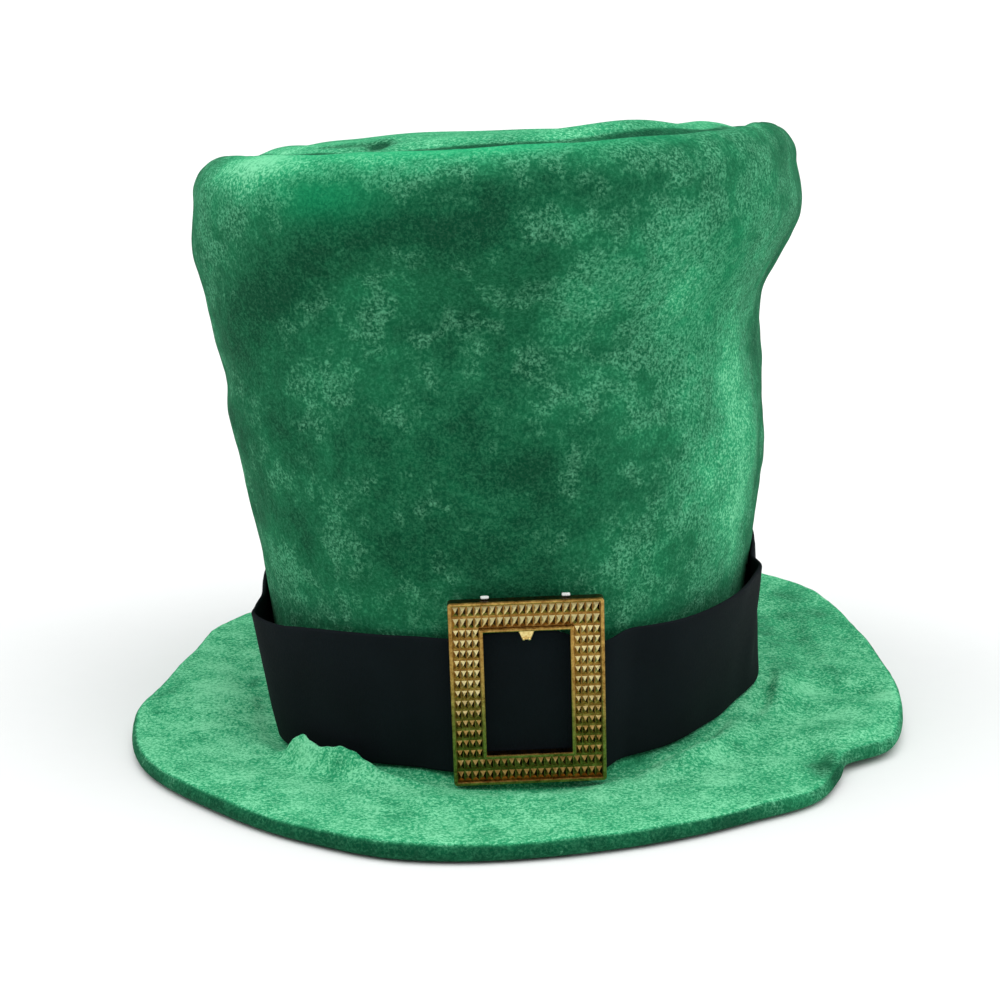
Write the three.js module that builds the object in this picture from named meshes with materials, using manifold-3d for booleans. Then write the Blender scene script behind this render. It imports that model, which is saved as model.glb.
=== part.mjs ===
// A leprechaun hat: a tall plush crown that widens to a flat top, a wide padded brim, a black
// band, and a rectangular gilt buckle held by two small fasteners. Millimetres, +Z up, the front
// faces -Y, and the hat stands on its brim with the origin under the middle of its outline.
// Directions are degrees about +Z from +X, its right-hand side: 90 is the back, 270 the front.
import * as THREE from 'three';
import { mergeVertices } from 'three/addons/utils/BufferGeometryUtils.js';
import { ParametricGeometry } from 'three/addons/geometries/ParametricGeometry.js';
import Module from 'manifold-3d';

// Crown: its plan is a rounded oval whose long axis is turned away from the front.
const OVAL_LONG = 107;        // half the long axis at the widest part of the lower crown
const OVAL_SHORT = 85;        // half the short axis there
const OVAL_TURN = 77;         // degrees from +X to the long axis
const OVAL_SQUARENESS = 2.3;  // power of the superellipse: 2 is an ellipse
const CROWN_HEIGHT = 214.2;   // from the surface that the brim rests on to the shoulder's top
const CROWN_WALL = 3;
const SHOULDER_RADIUS = 13;   // the rounded edge between the wall and the tip
const SHOULDER_SWEEP = 112;   // degrees that it turns before the tip's seam
const RISE_RIGHT = 6;         // how much higher the top's right-hand side stands
const RISE_FRONT = 6.5;       // how much higher its front stands: the tip sags to the back
const TIP_DOME = 4.3;
const TIP_DOME_REACH = 0.4;   // share of the way in by which the dome has its full height
const TIP_EASE = 0.12;        // share of the way in by which the tip's folds have faded in
const FOOT_EASE = 0.2;        // share of the wall's height by which its folds have

// Brim: two layers of plush over padding, with a rolled edge.
const BRIM_WIDTH = 62;
const BRIM_THICKNESS = 6;
const SEAT_LIFT = 8;          // most that its underside leaves the surface under the crown
const RIM_LIFT = 9;           // most that it leaves the surface at the rim
const LIFT_REACH = 0.55;      // share of the width by which it has come to the rim's lift
const GATHER_EASE = 0.08;     // share of the width over which a gather begins
const RIM_EASE = 0.12;        // and over which all of them end at the rim

// Band and buckle.
const BAND_WIDTH = 49;
const BAND_THICKNESS = 1.5;
const BAND_CLEARANCE = 0.8;
const BAND_STANDOFF = 9;      // most that the loose band stands off the crown
const BAND_HOLD = 0.6;        // half widths of the buckle over which the band lies in its plane
const BAND_RELEASE = 1.5;     // and past which it has left it
const BAND_FOOTING = 0.06;    // share of the brim's width that it clears on both sides of its face
const BUCKLE_WIDTH = 52;
const BUCKLE_HEIGHT = 67;
const BUCKLE_SIDE_RAIL = 11.5;
const BUCKLE_END_RAIL = 11;
const BUCKLE_DEPTH = 3.6;
const BUCKLE_LIP = 1.3;       // width of the raised lips round the outside and the window
const BUCKLE_FIELD_DEPTH = 1.1;
const BUCKLE_DROP = 2.8;      // how far it reaches below the band
const BUCKLE_CLEARANCE = 0.5; // between its plane and the one that the band just reaches
const BUCKLE_FACING = 272;    // degrees about +Z
const BUCKLE_LEAN = 6.5;      // degrees that its top leans outwards, with the crown
const BUCKLE_ROLL = 1.9;      // degrees that its right-hand side is turned up
const STUD_WIDTH = 2.5;       // pitch of the small pyramids across
const STUD_LENGTH = 3.8;      // and down
const STUD_HEIGHT = 0.9;
const STUD_FILL = 0.94;       // share of the pitch that a pyramid's base takes
const STUB_WIDTH = 6;         // stub of the tongue under the window's top lip
const STUB_LENGTH = 3.4;
const STUB_THICKNESS = 1.6;
const FASTENER_WIDTH = 2.8;
const FASTENER_HEIGHT = 0.8;
const FASTENER_DEPTH = 1.6;
const FASTENER_SPACING = 27;

const GAP = 0.3;              // between pieces that touch
const BURIED = 0.4;           // how deep a joined detail is rooted in its carrier
const AROUND_STEPS = 60;
const BRIM_AROUND_STEPS = 72;
const RING_SPACING = 1.5;     // power that sets rings closer together towards a rim
const PLANE_SAMPLES = 9;      // each way, over the crown behind the buckle

// Sections of the crown: up, a share of the wall's height; spread, a share of the oval; deep, a
// share of that from front to back; right and back, shifts as shares of OVAL_LONG.
const SECTIONS = [
  { up: 0.00, spread: 0.978, deep: 1.00, right: 0.000, back: 0.00 },
  { up: 0.27, spread: 1.048, deep: 1.00, right: 0.002, back: 0.00 },
  { up: 0.43, spread: 1.097, deep: 0.99, right: -0.008, back: 0.00 },
  { up: 0.59, spread: 1.128, deep: 0.98, right: -0.047, back: 0.00 },
  { up: 0.75, spread: 1.152, deep: 0.96, right: -0.068, back: 0.00 },
  { up: 0.83, spread: 1.210, deep: 0.94, right: -0.050, back: 0.00 },
  { up: 0.90, spread: 1.264, deep: 0.93, right: -0.036, back: 0.00 },
  { up: 1.00, spread: 1.280, deep: 0.92, right: -0.020, back: 0.00 },
];

// Dents and folds of the wall: around in degrees, up as in SECTIONS, their half widths, push as a
// share of OVAL_SHORT, outwards if positive, and lean, the share that they rise per degree.
const WALL_FOLDS = [
  { around: 262, up: 0.80, halfAround: 34, halfUp: 0.09, push: -0.085, lean: -0.0030 },
  { around: 285, up: 0.66, halfAround: 22, halfUp: 0.12, push: 0.030, lean: 0.0020 },
  { around: 236, up: 0.62, halfAround: 12, halfUp: 0.16, push: -0.030, lean: 0.0040 },
  { around: 272, up: 0.45, halfAround: 7, halfUp: 0.22, push: -0.022, lean: 0.0000 },
  { around: 205, up: 0.66, halfAround: 14, halfUp: 0.04, push: -0.018, lean: 0.0030 },
  { around: 356, up: 1.05, halfAround: 34, halfUp: 0.08, push: -0.085, lean: 0.0000 },
  { around: 330, up: 0.52, halfAround: 16, halfUp: 0.07, push: 0.030, lean: 0.0000 },
  { around: 40, up: 0.55, halfAround: 26, halfUp: 0.12, push: -0.050, lean: 0.0030 },
  { around: 95, up: 0.72, halfAround: 30, halfUp: 0.10, push: -0.060, lean: -0.0020 },
  { around: 130, up: 0.40, halfAround: 24, halfUp: 0.12, push: 0.030, lean: 0.0000 },
  { around: 160, up: 0.80, halfAround: 20, halfUp: 0.10, push: -0.035, lean: 0.0020 },
];

// Dents and bumps of the tip: right and back of its middle, and radius, as shares of OVAL_LONG;
// height as a share of SHOULDER_RADIUS.
const TIP_FOLDS = [
  { right: -0.60, back: -0.98, radius: 0.12, height: 0.30 },
  { right: -0.52, back: -0.88, radius: 0.07, height: -0.30 },
  { right: 0.32, back: -0.80, radius: 0.25, height: 0.22 },
  { right: 0.20, back: 0.10, radius: 0.50, height: -0.35 },
  { right: -0.35, back: 0.45, radius: 0.30, height: 0.20 },
];

// The brim by direction: reach, a share of BRIM_WIDTH; seat and rim, the lift of its underside at
// the crown and at the rim, as shares of SEAT_LIFT and RIM_LIFT.
const BRIM_ROWS = [
  { around: 5, reach: 0.97, seat: 1.00, rim: 0.65 },
  { around: 22, reach: 0.97, seat: 1.00, rim: 0.80 },
  { around: 42, reach: 1.08, seat: 0.90, rim: 1.15 },
  { around: 62, reach: 1.08, seat: 0.70, rim: 1.05 },
  { around: 90, reach: 0.96, seat: 0.40, rim: 0.00 },
  { around: 125, reach: 0.98, seat: 0.30, rim: 0.00 },
  { around: 150, reach: 0.90, seat: 0.35, rim: 0.45 },
  { around: 165, reach: 0.80, seat: 0.40, rim: 0.50 },
  { around: 180, reach: 0.80, seat: 0.35, rim: 0.40 },
  { around: 195, reach: 0.91, seat: 0.20, rim: 0.20 },
  { around: 212, reach: 0.97, seat: 0.00, rim: 0.00 },
  { around: 230, reach: 0.945, seat: 0.00, rim: 0.00 },
  { around: 246, reach: 1.03, seat: 0.12, rim: 0.00 },
  { around: 258, reach: 1.10, seat: 0.22, rim: 0.00 },
  { around: 280, reach: 0.97, seat: 0.32, rim: 0.00 },
  { around: 299, reach: 0.96, seat: 0.38, rim: 0.00 },
  { around: 311, reach: 1.03, seat: 0.46, rim: 0.00 },
  { around: 319, reach: 0.97, seat: 0.54, rim: 0.05 },
  { around: 324, reach: 0.93, seat: 0.60, rim: 0.20 },
  { around: 334, reach: 1.08, seat: 0.78, rim: 0.15 },
  { around: 350, reach: 1.04, seat: 1.00, rim: 0.45 },
];

// Gathers and hollows of the brim's top: around in degrees; from and out, where they begin and
// where they are deepest, as shares of the brim's width; their half widths; and height as a share
// of BRIM_THICKNESS.
const GATHERS = [
  { around: 218, from: 0.02, out: 0.15, halfAround: 17, halfOut: 0.13, height: -0.56 },
  { around: 230, from: 0.20, out: 0.28, halfAround: 4, halfOut: 0.07, height: 1.50 },
  { around: 239, from: 0.16, out: 0.24, halfAround: 7, halfOut: 0.08, height: 1.55 },
  { around: 251, from: 0.14, out: 0.20, halfAround: 6, halfOut: 0.07, height: 0.30 },
  { around: 272, from: 0.04, out: 0.16, halfAround: 22, halfOut: 0.15, height: -0.92 },
  { around: 308, from: 0.18, out: 0.28, halfAround: 12, halfOut: 0.09, height: 0.60 },
  { around: 345, from: 0.26, out: 0.36, halfAround: 12, halfOut: 0.10, height: 0.60 },
  { around: 322, from: 0.30, out: 0.80, halfAround: 5, halfOut: 0.25, height: -0.45 },
  { around: 332, from: 0.30, out: 0.85, halfAround: 6, halfOut: 0.20, height: 0.35 },
  { around: 350, from: 0.30, out: 0.75, halfAround: 3, halfOut: 0.25, height: -0.35 },
  { around: 20, from: 0.20, out: 0.55, halfAround: 20, halfOut: 0.10, height: -0.30 },
  { around: 195, from: 0.20, out: 0.50, halfAround: 12, halfOut: 0.20, height: 0.30 },
];

// How far the band stands off the crown at its lower and upper edge, as shares of BAND_STANDOFF.
const BAND_ROWS = [
  { around: 0, low: 0.90, high: 0.00 },
  { around: 20, low: 0.45, high: 0.00 },
  { around: 90, low: 0.10, high: 0.10 },
  { around: 140, low: 0.10, high: 0.10 },
  { around: 175, low: 0.10, high: 0.05 },
  { around: 200, low: 0.10, high: 0.05 },
  { around: 207, low: 0.20, high: 0.15 },
  { around: 211, low: 0.35, high: 0.55 },
  { around: 215, low: 0.50, high: 0.95 },
  { around: 223, low: 0.45, high: 0.86 },
  { around: 229, low: 0.30, high: 0.58 },
  { around: 238, low: 0.15, high: 0.30 },
  { around: 250, low: 0.00, high: 0.08 },
  { around: 257, low: 0.00, high: 0.00 },
  { around: 288, low: 0.00, high: 0.00 },
  { around: 295, low: 0.02, high: 0.25 },
  { around: 302, low: 0.10, high: 0.50 },
  { around: 320, low: 0.25, high: 0.62 },
  { around: 334, low: 0.50, high: 0.60 },
  { around: 341, low: 0.75, high: 0.55 },
  { around: 347, low: 0.90, high: 0.08 },
];

const radians = THREE.MathUtils.degToRad;
const lerp = THREE.MathUtils.lerp;
const smooth = (value, low, high) => THREE.MathUtils.smoothstep(value, low, high);

// Degrees from one direction to another, between -180 and 180.
function turnBetween(around, other) {
  return ((((around - other + 180) % 360) + 360) % 360) - 180;
}

// Cubic through four neighbouring rows, whose slopes come from the rows beside each end.
function cubic(before, start, end, after, key, column, at) {
  const span = end[key] - start[key];
  const slopeStart = (end[column] - before[column]) / (end[key] - before[key]);
  const slopeEnd = (after[column] - start[column]) / (after[key] - start[key]);
  const t = (at - start[key]) / span;
  return (2 * t ** 3 - 3 * t ** 2 + 1) * start[column] + (t ** 3 - 2 * t ** 2 + t) * span * slopeStart
    + (3 * t ** 2 - 2 * t ** 3) * end[column] + (t ** 3 - t ** 2) * span * slopeEnd;
}

// A column of SECTIONS at a height share.
function section(column, up) {
  const last = SECTIONS.length - 1;
  const held = THREE.MathUtils.clamp(up, 0, 1);
  const next = Math.min(Math.max(SECTIONS.findIndex((row) => row.up > held), 1), last);
  const index = held >= 1 ? last : next;
  const row = (i) => SECTIONS[THREE.MathUtils.clamp(i, 0, last)];
  return cubic(row(index - 2), row(index - 1), row(index), row(index + 1), 'up', column, held);
}

// A column of a table of directions, joined into a loop.
function byDirection(table, column, around) {
  const turn = ((around % 360) + 360) % 360;
  const count = table.length;
  const row = (i) => ({
    around: table[(i + count) % count].around + 360 * Math.floor(i / count),
    value: table[(i + count) % count][column],
  });
  let next = table.findIndex((entry) => entry.around > turn);
  if (next < 0) next = count;
  return cubic(row(next - 2), row(next - 1), row(next), row(next + 1), 'around', 'value', turn);
}

// Radius of the plain oval in a direction.
function oval(around) {
  const turn = radians(around - OVAL_TURN);
  const along = Math.abs(Math.cos(turn) / OVAL_LONG) ** OVAL_SQUARENESS;
  const across = Math.abs(Math.sin(turn) / OVAL_SHORT) ** OVAL_SQUARENESS;
  return (along + across) ** (-1 / OVAL_SQUARENESS);
}

// How far the folds push the wall out.
function wallFolds(around, up) {
  return WALL_FOLDS.reduce((sum, fold) => {
    const turn = turnBetween(around, fold.around);
    const rise = up - fold.up - fold.lean * turn;
    return sum + fold.push * OVAL_SHORT
      * Math.exp(-((turn / fold.halfAround) ** 2) - (rise / fold.halfUp) ** 2);
  }, 0);
}

// Radius of the crown's outer face, with the folds fading out at its foot.
function crownRadius(around, up) {
  return oval(around) * section('spread', up) + wallFolds(around, up) * smooth(up, 0, FOOT_EASE);
}

// Point at a radius and a height share, carried by the shift of that section.
function place(around, up, radius, height) {
  const turn = radians(around);
  const right = section('right', up) * OVAL_LONG;
  const back = section('back', up) * OVAL_LONG;
  const deep = section('deep', up);
  return new THREE.Vector3(right + radius * Math.cos(turn), back + deep * radius * Math.sin(turn), height);
}

const openingRadius = (around) => crownRadius(around, 0) - CROWN_WALL;
const edgeRadius = BRIM_THICKNESS / 2;

// Radius where the brim's rolled edge begins.
function rimRadius(around) {
  return crownRadius(around, 0) + BRIM_WIDTH * byDirection(BRIM_ROWS, 'reach', around) - edgeRadius;
}

// Height of the brim's underside at a share of the way out, never below the surface.
function brimUnder(around, out) {
  const seat = SEAT_LIFT * byDirection(BRIM_ROWS, 'seat', around);
  const rim = RIM_LIFT * byDirection(BRIM_ROWS, 'rim', around);
  return Math.max(0, lerp(seat, rim, smooth(out, 0, LIFT_REACH)));
}

// Height of its top: the padding, with gathers and hollows that fade in from the crown's foot.
function brimTop(around, out) {
  const gathers = GATHERS.reduce((sum, gather) => sum + gather.height * BRIM_THICKNESS
    * Math.exp(-((turnBetween(around, gather.around) / gather.halfAround) ** 2)
      - ((out - gather.out) / gather.halfOut) ** 2) * smooth(out, gather.from, gather.from + GATHER_EASE), 0);
  return brimUnder(around, out) + BRIM_THICKNESS + gathers * smooth(1 - out, 0, RIM_EASE);
}

function brimPoint(around, out, height) {
  return place(around, 0, lerp(openingRadius(around), rimRadius(around), out), height);
}

// Heights of the crown's foot and of the start of its shoulder.
const footHeight = (around) => brimTop(around, 0) + GAP;
function shoulderHeight(around) {
  const turn = radians(around);
  return CROWN_HEIGHT - SHOULDER_RADIUS + RISE_RIGHT * Math.cos(turn) - RISE_FRONT * Math.sin(turn);
}

function wallPoint(around, up, inset) {
  const height = lerp(footHeight(around), shoulderHeight(around), up);
  return place(around, up, crownRadius(around, up) - inset, height);
}

// The shoulder: an arc from the top of the wall, turned over by an angle.
function shoulderPoint(around, sweep, inset) {
  const angle = radians(sweep);
  const radius = SHOULDER_RADIUS - inset;
  const wallTop = crownRadius(around, 1) - SHOULDER_RADIUS;
  const height = shoulderHeight(around) + radius * Math.sin(angle);
  return place(around, 1, wallTop + radius * Math.cos(angle), height);
}

// A closed skin from stations, which are loops of points that follow each other round a profile.
function closedGeometry(geometry) {
  geometry.deleteAttribute('uv');
  geometry.deleteAttribute('normal');
  const merged = mergeVertices(geometry, 1e-3);
  const index = merged.index.array;
  const kept = [];
  for (let i = 0; i < index.length; i += 3) {
    const [a, b, c] = [index[i], index[i + 1], index[i + 2]];
    if (a !== b && b !== c && c !== a) kept.push(a, b, c);
  }
  merged.setIndex(kept);
  return merged;
}

// Legs are stretches of a profile, each with its number of steps and its points from 0 to 1, and
// each ends where the next one starts. The profile closes on itself, or on two poles.
function skin(aroundSteps, legs, closes = true) {
  const stations = legs.flatMap(({ steps, at }) => (
    Array.from({ length: steps }, (_, i) => (around) => at(around, i / steps))));
  if (!closes) stations.push((around) => legs.at(-1).at(around, 1));
  const count = closes ? stations.length : stations.length - 1;
  return closedGeometry(new ParametricGeometry((u, v, target) => {
    const station = stations[Math.round(v * count) % stations.length];
    target.copy(station((Math.round(u * aroundSteps) % aroundSteps) * (360 / aroundSteps)));
  }, aroundSteps, count));
}

function crownWallGeometry() {
  const from = (start, end) => (around, t) => start(around).lerp(end(around), t);
  return skin(AROUND_STEPS, [
    { steps: 13, at: (around, t) => wallPoint(around, t, 0) },
    { steps: 4, at: (around, t) => shoulderPoint(around, t * SHOULDER_SWEEP, 0) },
    { steps: 1, at: from((around) => shoulderPoint(around, SHOULDER_SWEEP, 0),
      (around) => shoulderPoint(around, SHOULDER_SWEEP, CROWN_WALL)) },
    { steps: 3, at: (around, t) => shoulderPoint(around, (1 - t) * SHOULDER_SWEEP, CROWN_WALL) },
    { steps: 9, at: (around, t) => wallPoint(around, 1 - t, CROWN_WALL) },
    { steps: 1, at: from((around) => wallPoint(around, 0, CROWN_WALL),
      (around) => wallPoint(around, 0, 0)) },
  ]);
}

// The tip: a disc from the seam, past the gap, to a low dome in the middle.
function tipPoint(around, inward, inset) {
  const seamSweep = SHOULDER_SWEEP + THREE.MathUtils.radToDeg(GAP / (SHOULDER_RADIUS - CROWN_WALL));
  const seam = shoulderPoint(around, seamSweep, inset);
  const middle = place(0, 1, 0, CROWN_HEIGHT - inset);
  const point = seam.lerp(middle, inward);
  const folds = TIP_FOLDS.reduce((sum, fold) => {
    const right = point.x - middle.x - fold.right * OVAL_LONG;
    const back = point.y - middle.y - fold.back * OVAL_LONG;
    const away = Math.hypot(right, back) / (fold.radius * OVAL_LONG);
    return sum + fold.height * SHOULDER_RADIUS * Math.exp(-(away ** 2));
  }, 0);
  const dome = TIP_DOME * Math.sin(Math.PI / 2 * Math.min(1, inward / TIP_DOME_REACH));
  point.z += (dome + folds) * smooth(inward, 0, TIP_EASE);
  return point;
}

function crownTipGeometry() {
  return skin(AROUND_STEPS, [
    { steps: 7, at: (around, t) => tipPoint(around, (1 - t) ** RING_SPACING, CROWN_WALL) },
    { steps: 1, at: (around, t) => tipPoint(around, 0, lerp(CROWN_WALL, 0, t)) },
    { steps: 7, at: (around, t) => tipPoint(around, t ** RING_SPACING, 0) },
  ], false);
}

function brimGeometry() {
  const top = (around, out) => brimPoint(around, out, brimTop(around, out));
  const edge = (around, sweep) => {
    const under = brimUnder(around, 1);
    const turn = radians(sweep);
    return place(around, 0, rimRadius(around) + edgeRadius * Math.cos(turn),
      under + edgeRadius + edgeRadius * Math.sin(turn));
  };
  return skin(BRIM_AROUND_STEPS, [
    { steps: 4, at: (around, t) => brimPoint(around, t, brimUnder(around, t)) },
    { steps: 4, at: (around, t) => edge(around, lerp(-90, 90, t)) },
    { steps: 9, at: (around, t) => top(around, (1 - t) ** RING_SPACING) },
    { steps: 1, at: (around, t) => brimPoint(around, 0, lerp(brimTop(around, 0), brimUnder(around, 0), t)) },
  ]);
}

// The buckle's plane: leaning, and just clear of the band over the furthest point of the crown.
const buckleNormal = new THREE.Vector3(
  Math.cos(radians(BUCKLE_FACING)) * Math.cos(radians(BUCKLE_LEAN)),
  Math.sin(radians(BUCKLE_FACING)) * Math.cos(radians(BUCKLE_LEAN)),
  -Math.sin(radians(BUCKLE_LEAN)),
);
const wallHeight = CROWN_HEIGHT - SHOULDER_RADIUS - BRIM_THICKNESS;
const bandShare = BAND_WIDTH / wallHeight;
const buckleShare = BUCKLE_HEIGHT / wallHeight;
const buckleHalfTurn = THREE.MathUtils.radToDeg(Math.atan(BUCKLE_WIDTH / 2 / OVAL_LONG));
const bandPlane = Math.max(...Array.from({ length: PLANE_SAMPLES ** 2 }, (_, i) => {
  const across = (i % PLANE_SAMPLES) / (PLANE_SAMPLES - 1);
  const up = Math.floor(i / PLANE_SAMPLES) / (PLANE_SAMPLES - 1);
  const around = BUCKLE_FACING + lerp(-buckleHalfTurn, buckleHalfTurn, across);
  return wallPoint(around, up * buckleShare, 0).dot(buckleNormal);
})) + BAND_CLEARANCE + BAND_THICKNESS;

// Radius of the band's outer face: off the crown by its clearance and standoff, and straight
// behind the buckle, whose plane it reaches.
function bandRadius(around, share) {
  const up = share * bandShare;
  const low = byDirection(BAND_ROWS, 'low', around);
  const high = byDirection(BAND_ROWS, 'high', around);
  const standoff = BAND_STANDOFF * lerp(low, high, share);
  const free = crownRadius(around, up) + BAND_CLEARANCE + BAND_THICKNESS + standoff;
  const direction = new THREE.Vector3(Math.cos(radians(around)), Math.sin(radians(around)), 0);
  const centre = wallPoint(around, up, crownRadius(around, up));
  const straight = (bandPlane - centre.dot(buckleNormal)) / direction.dot(buckleNormal);
  const turn = Math.abs(turnBetween(around, BUCKLE_FACING));
  if (turn > BAND_RELEASE * buckleHalfTurn) return free;
  const held = 1 - smooth(turn, BAND_HOLD * buckleHalfTurn, BAND_RELEASE * buckleHalfTurn);
  return free + held * Math.max(0, straight - free);
}

// Height of the band's lower edge: clear of the highest of the brim that it stands over.
function bandFoot(around) {
  const out = (bandRadius(around, 0) - openingRadius(around)) / (rimRadius(around) - openingRadius(around));
  const heights = [-1, 0, 1].map((side) => brimTop(around, out + side * BAND_FOOTING));
  return Math.max(...heights) + GAP;
}

function bandPoint(around, share, inset) {
  const height = bandFoot(around) + share * BAND_WIDTH;
  return place(around, share * bandShare, bandRadius(around, share) - inset, height);
}

function bandGeometry() {
  return skin(AROUND_STEPS, [
    { steps: 3, at: (around, t) => bandPoint(around, t, 0) },
    { steps: 1, at: (around, t) => bandPoint(around, 1, t * BAND_THICKNESS) },
    { steps: 3, at: (around, t) => bandPoint(around, 1 - t, BAND_THICKNESS) },
    { steps: 1, at: (around, t) => bandPoint(around, 0, (1 - t) * BAND_THICKNESS) },
  ]);
}

// Joins and cuts of closed meshes.
const wasm = await Module();
wasm.setup();

function toSolid(geometry) {
  const closed = closedGeometry(geometry.index ? geometry : mergeVertices(geometry));
  return new wasm.Manifold(new wasm.Mesh({
    numProp: 3,
    vertProperties: new Float32Array(closed.attributes.position.array),
    triVerts: new Uint32Array(closed.index.array),
  }));
}

function toGeometry(solid) {
  const mesh = solid.getMesh();
  const geometry = new THREE.BufferGeometry();
  geometry.setAttribute('position', new THREE.BufferAttribute(mesh.vertProperties, 3));
  geometry.setIndex(new THREE.BufferAttribute(mesh.triVerts, 1));
  return geometry;
}

// Rectangle about the origin, taken in by an inset on every side.
function rectangle(width, height, inset, PathClass) {
  const x = width / 2 - inset;
  const y = height / 2 - inset;
  const path = new PathClass();
  path.moveTo(-x, -y);
  path.lineTo(x, -y);
  path.lineTo(x, y);
  path.lineTo(-x, y);
  path.closePath();
  return path;
}

const windowWidth = BUCKLE_WIDTH - 2 * BUCKLE_SIDE_RAIL;
const windowHeight = BUCKLE_HEIGHT - 2 * BUCKLE_END_RAIL;

// A flat frame: the buckle's outline and its window, each moved into the rails by an inset.
function frameBlock(inset, low, high) {
  const shape = rectangle(BUCKLE_WIDTH, BUCKLE_HEIGHT, inset, THREE.Shape);
  shape.holes.push(rectangle(windowWidth, windowHeight, -inset, THREE.Path));
  const block = new THREE.ExtrudeGeometry(shape, { depth: high - low, bevelEnabled: false });
  return toSolid(block.translate(0, 0, low));
}

// Rows of studs that fill one rail, given by its middle and its size.
function railStuds(x, y, width, height) {
  const columns = Math.max(1, Math.round(width / STUD_WIDTH));
  const rows = Math.max(1, Math.round(height / STUD_LENGTH));
  const studs = [];
  for (let row = 0; row < rows; row += 1) {
    for (let column = 0; column < columns; column += 1) {
      const across = width / columns;
      const down = height / rows;
      const stud = new THREE.ConeGeometry(Math.SQRT1_2, STUD_HEIGHT + BURIED, 4, 1);
      stud.rotateY(Math.PI / 4).rotateX(Math.PI / 2).scale(across * STUD_FILL, down * STUD_FILL, 1);
      studs.push(toSolid(stud.translate(
        x - width / 2 + (column + 0.5) * across,
        y - height / 2 + (row + 0.5) * down,
        BUCKLE_DEPTH - BUCKLE_FIELD_DEPTH - BURIED + (STUD_HEIGHT + BURIED) / 2,
      )));
    }
  }
  return studs;
}

function buckleGeometry() {
  const sideField = BUCKLE_SIDE_RAIL - 2 * BUCKLE_LIP;
  const endField = BUCKLE_END_RAIL - 2 * BUCKLE_LIP;
  const sideX = (BUCKLE_WIDTH - BUCKLE_SIDE_RAIL) / 2;
  const endY = (BUCKLE_HEIGHT - BUCKLE_END_RAIL) / 2;
  const fieldWidth = BUCKLE_WIDTH - 2 * BUCKLE_LIP;
  const plate = frameBlock(0, 0, BUCKLE_DEPTH);
  const field = frameBlock(BUCKLE_LIP, BUCKLE_DEPTH - BUCKLE_FIELD_DEPTH, BUCKLE_DEPTH + GAP);
  const studs = [
    ...railStuds(-sideX, 0, sideField, windowHeight + 2 * BUCKLE_LIP),
    ...railStuds(sideX, 0, sideField, windowHeight + 2 * BUCKLE_LIP),
    ...railStuds(0, endY, fieldWidth, endField),
    ...railStuds(0, -endY, fieldWidth, endField),
  ];
  const stub = new THREE.Shape([
    new THREE.Vector2(-STUB_WIDTH / 2, windowHeight / 2 + BURIED),
    new THREE.Vector2(-STUB_WIDTH / 4, windowHeight / 2 - STUB_LENGTH),
    new THREE.Vector2(STUB_WIDTH / 4, windowHeight / 2 - STUB_LENGTH),
    new THREE.Vector2(STUB_WIDTH / 2, windowHeight / 2 + BURIED),
  ]);
  const tongueStub = toSolid(new THREE.ExtrudeGeometry(stub, { depth: STUB_THICKNESS, bevelEnabled: false })
    .translate(0, 0, (BUCKLE_DEPTH - STUB_THICKNESS) / 2));
  const frame = studs.reduce((solid, stud) => solid.add(stud), plate.subtract(field)).add(tongueStub);
  return toGeometry(frame);
}

function fastenerGeometry() {
  const outline = rectangle(FASTENER_WIDTH, FASTENER_HEIGHT, 0, THREE.Shape);
  return new THREE.ExtrudeGeometry(outline, { depth: FASTENER_DEPTH, bevelEnabled: false })
    .translate(0, 0, -FASTENER_DEPTH / 2);
}

const plush = new THREE.MeshStandardMaterial({ color: 0x1f8a54, roughness: 0.9, metalness: 0 });
const bandCloth = new THREE.MeshStandardMaterial({ color: 0x101618, roughness: 0.95, metalness: 0 });
const gilt = new THREE.MeshStandardMaterial({ color: 0xc9a24a, roughness: 0.3, metalness: 1 });
const whiteNylon = new THREE.MeshStandardMaterial({ color: 0xe8e8e2, roughness: 0.5, metalness: 0 });

function piece(name, geometry, material) {
  const mesh = new THREE.Mesh(closedGeometry(geometry.index ? geometry : mergeVertices(geometry)), material);
  mesh.name = name;
  return mesh;
}

const hat = new THREE.Group();
const brim = piece('brim', brimGeometry(), plush);
hat.add(brim);
hat.add(piece('crown_wall', crownWallGeometry(), plush));
hat.add(piece('crown_tip', crownTipGeometry(), plush));
hat.add(piece('band', bandGeometry(), bandCloth));

// The buckle and its fasteners share a frame: x to their right, y up, z out of the hat.
const buckleRise = Math.cos(radians(BUCKLE_LEAN)) * BUCKLE_HEIGHT / 2;
const buckleMiddle = bandFoot(BUCKLE_FACING) - BUCKLE_DROP + buckleRise;
const facing = new THREE.Vector3(Math.cos(radians(BUCKLE_FACING)), Math.sin(radians(BUCKLE_FACING)), 0);
const buckleReach = bandPlane + BUCKLE_CLEARANCE - buckleMiddle * buckleNormal.z;
const buckleDistance = buckleReach / facing.dot(buckleNormal);
const buckleTurn = new THREE.Group();
buckleTurn.rotation.z = radians(BUCKLE_FACING - 270);
buckleTurn.position.set(facing.x * buckleDistance, facing.y * buckleDistance, buckleMiddle);
const buckleFrame = new THREE.Group();
buckleFrame.rotation.x = radians(90 + BUCKLE_LEAN);
buckleTurn.add(buckleFrame);
const buckleRoll = new THREE.Group();
buckleRoll.rotation.z = radians(BUCKLE_ROLL);
buckleFrame.add(buckleRoll);
buckleRoll.add(piece('buckle', buckleGeometry(), gilt));
const fastenerUp = (BUCKLE_HEIGHT + FASTENER_HEIGHT) / 2 + GAP;
for (const [name, side] of [['fastener_left', -1], ['fastener_right', 1]]) {
  const fastener = piece(name, fastenerGeometry(), whiteNylon);
  fastener.position.set(side * FASTENER_SPACING / 2, fastenerUp, FASTENER_DEPTH / 2);
  buckleRoll.add(fastener);
}
hat.add(buckleTurn);

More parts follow.
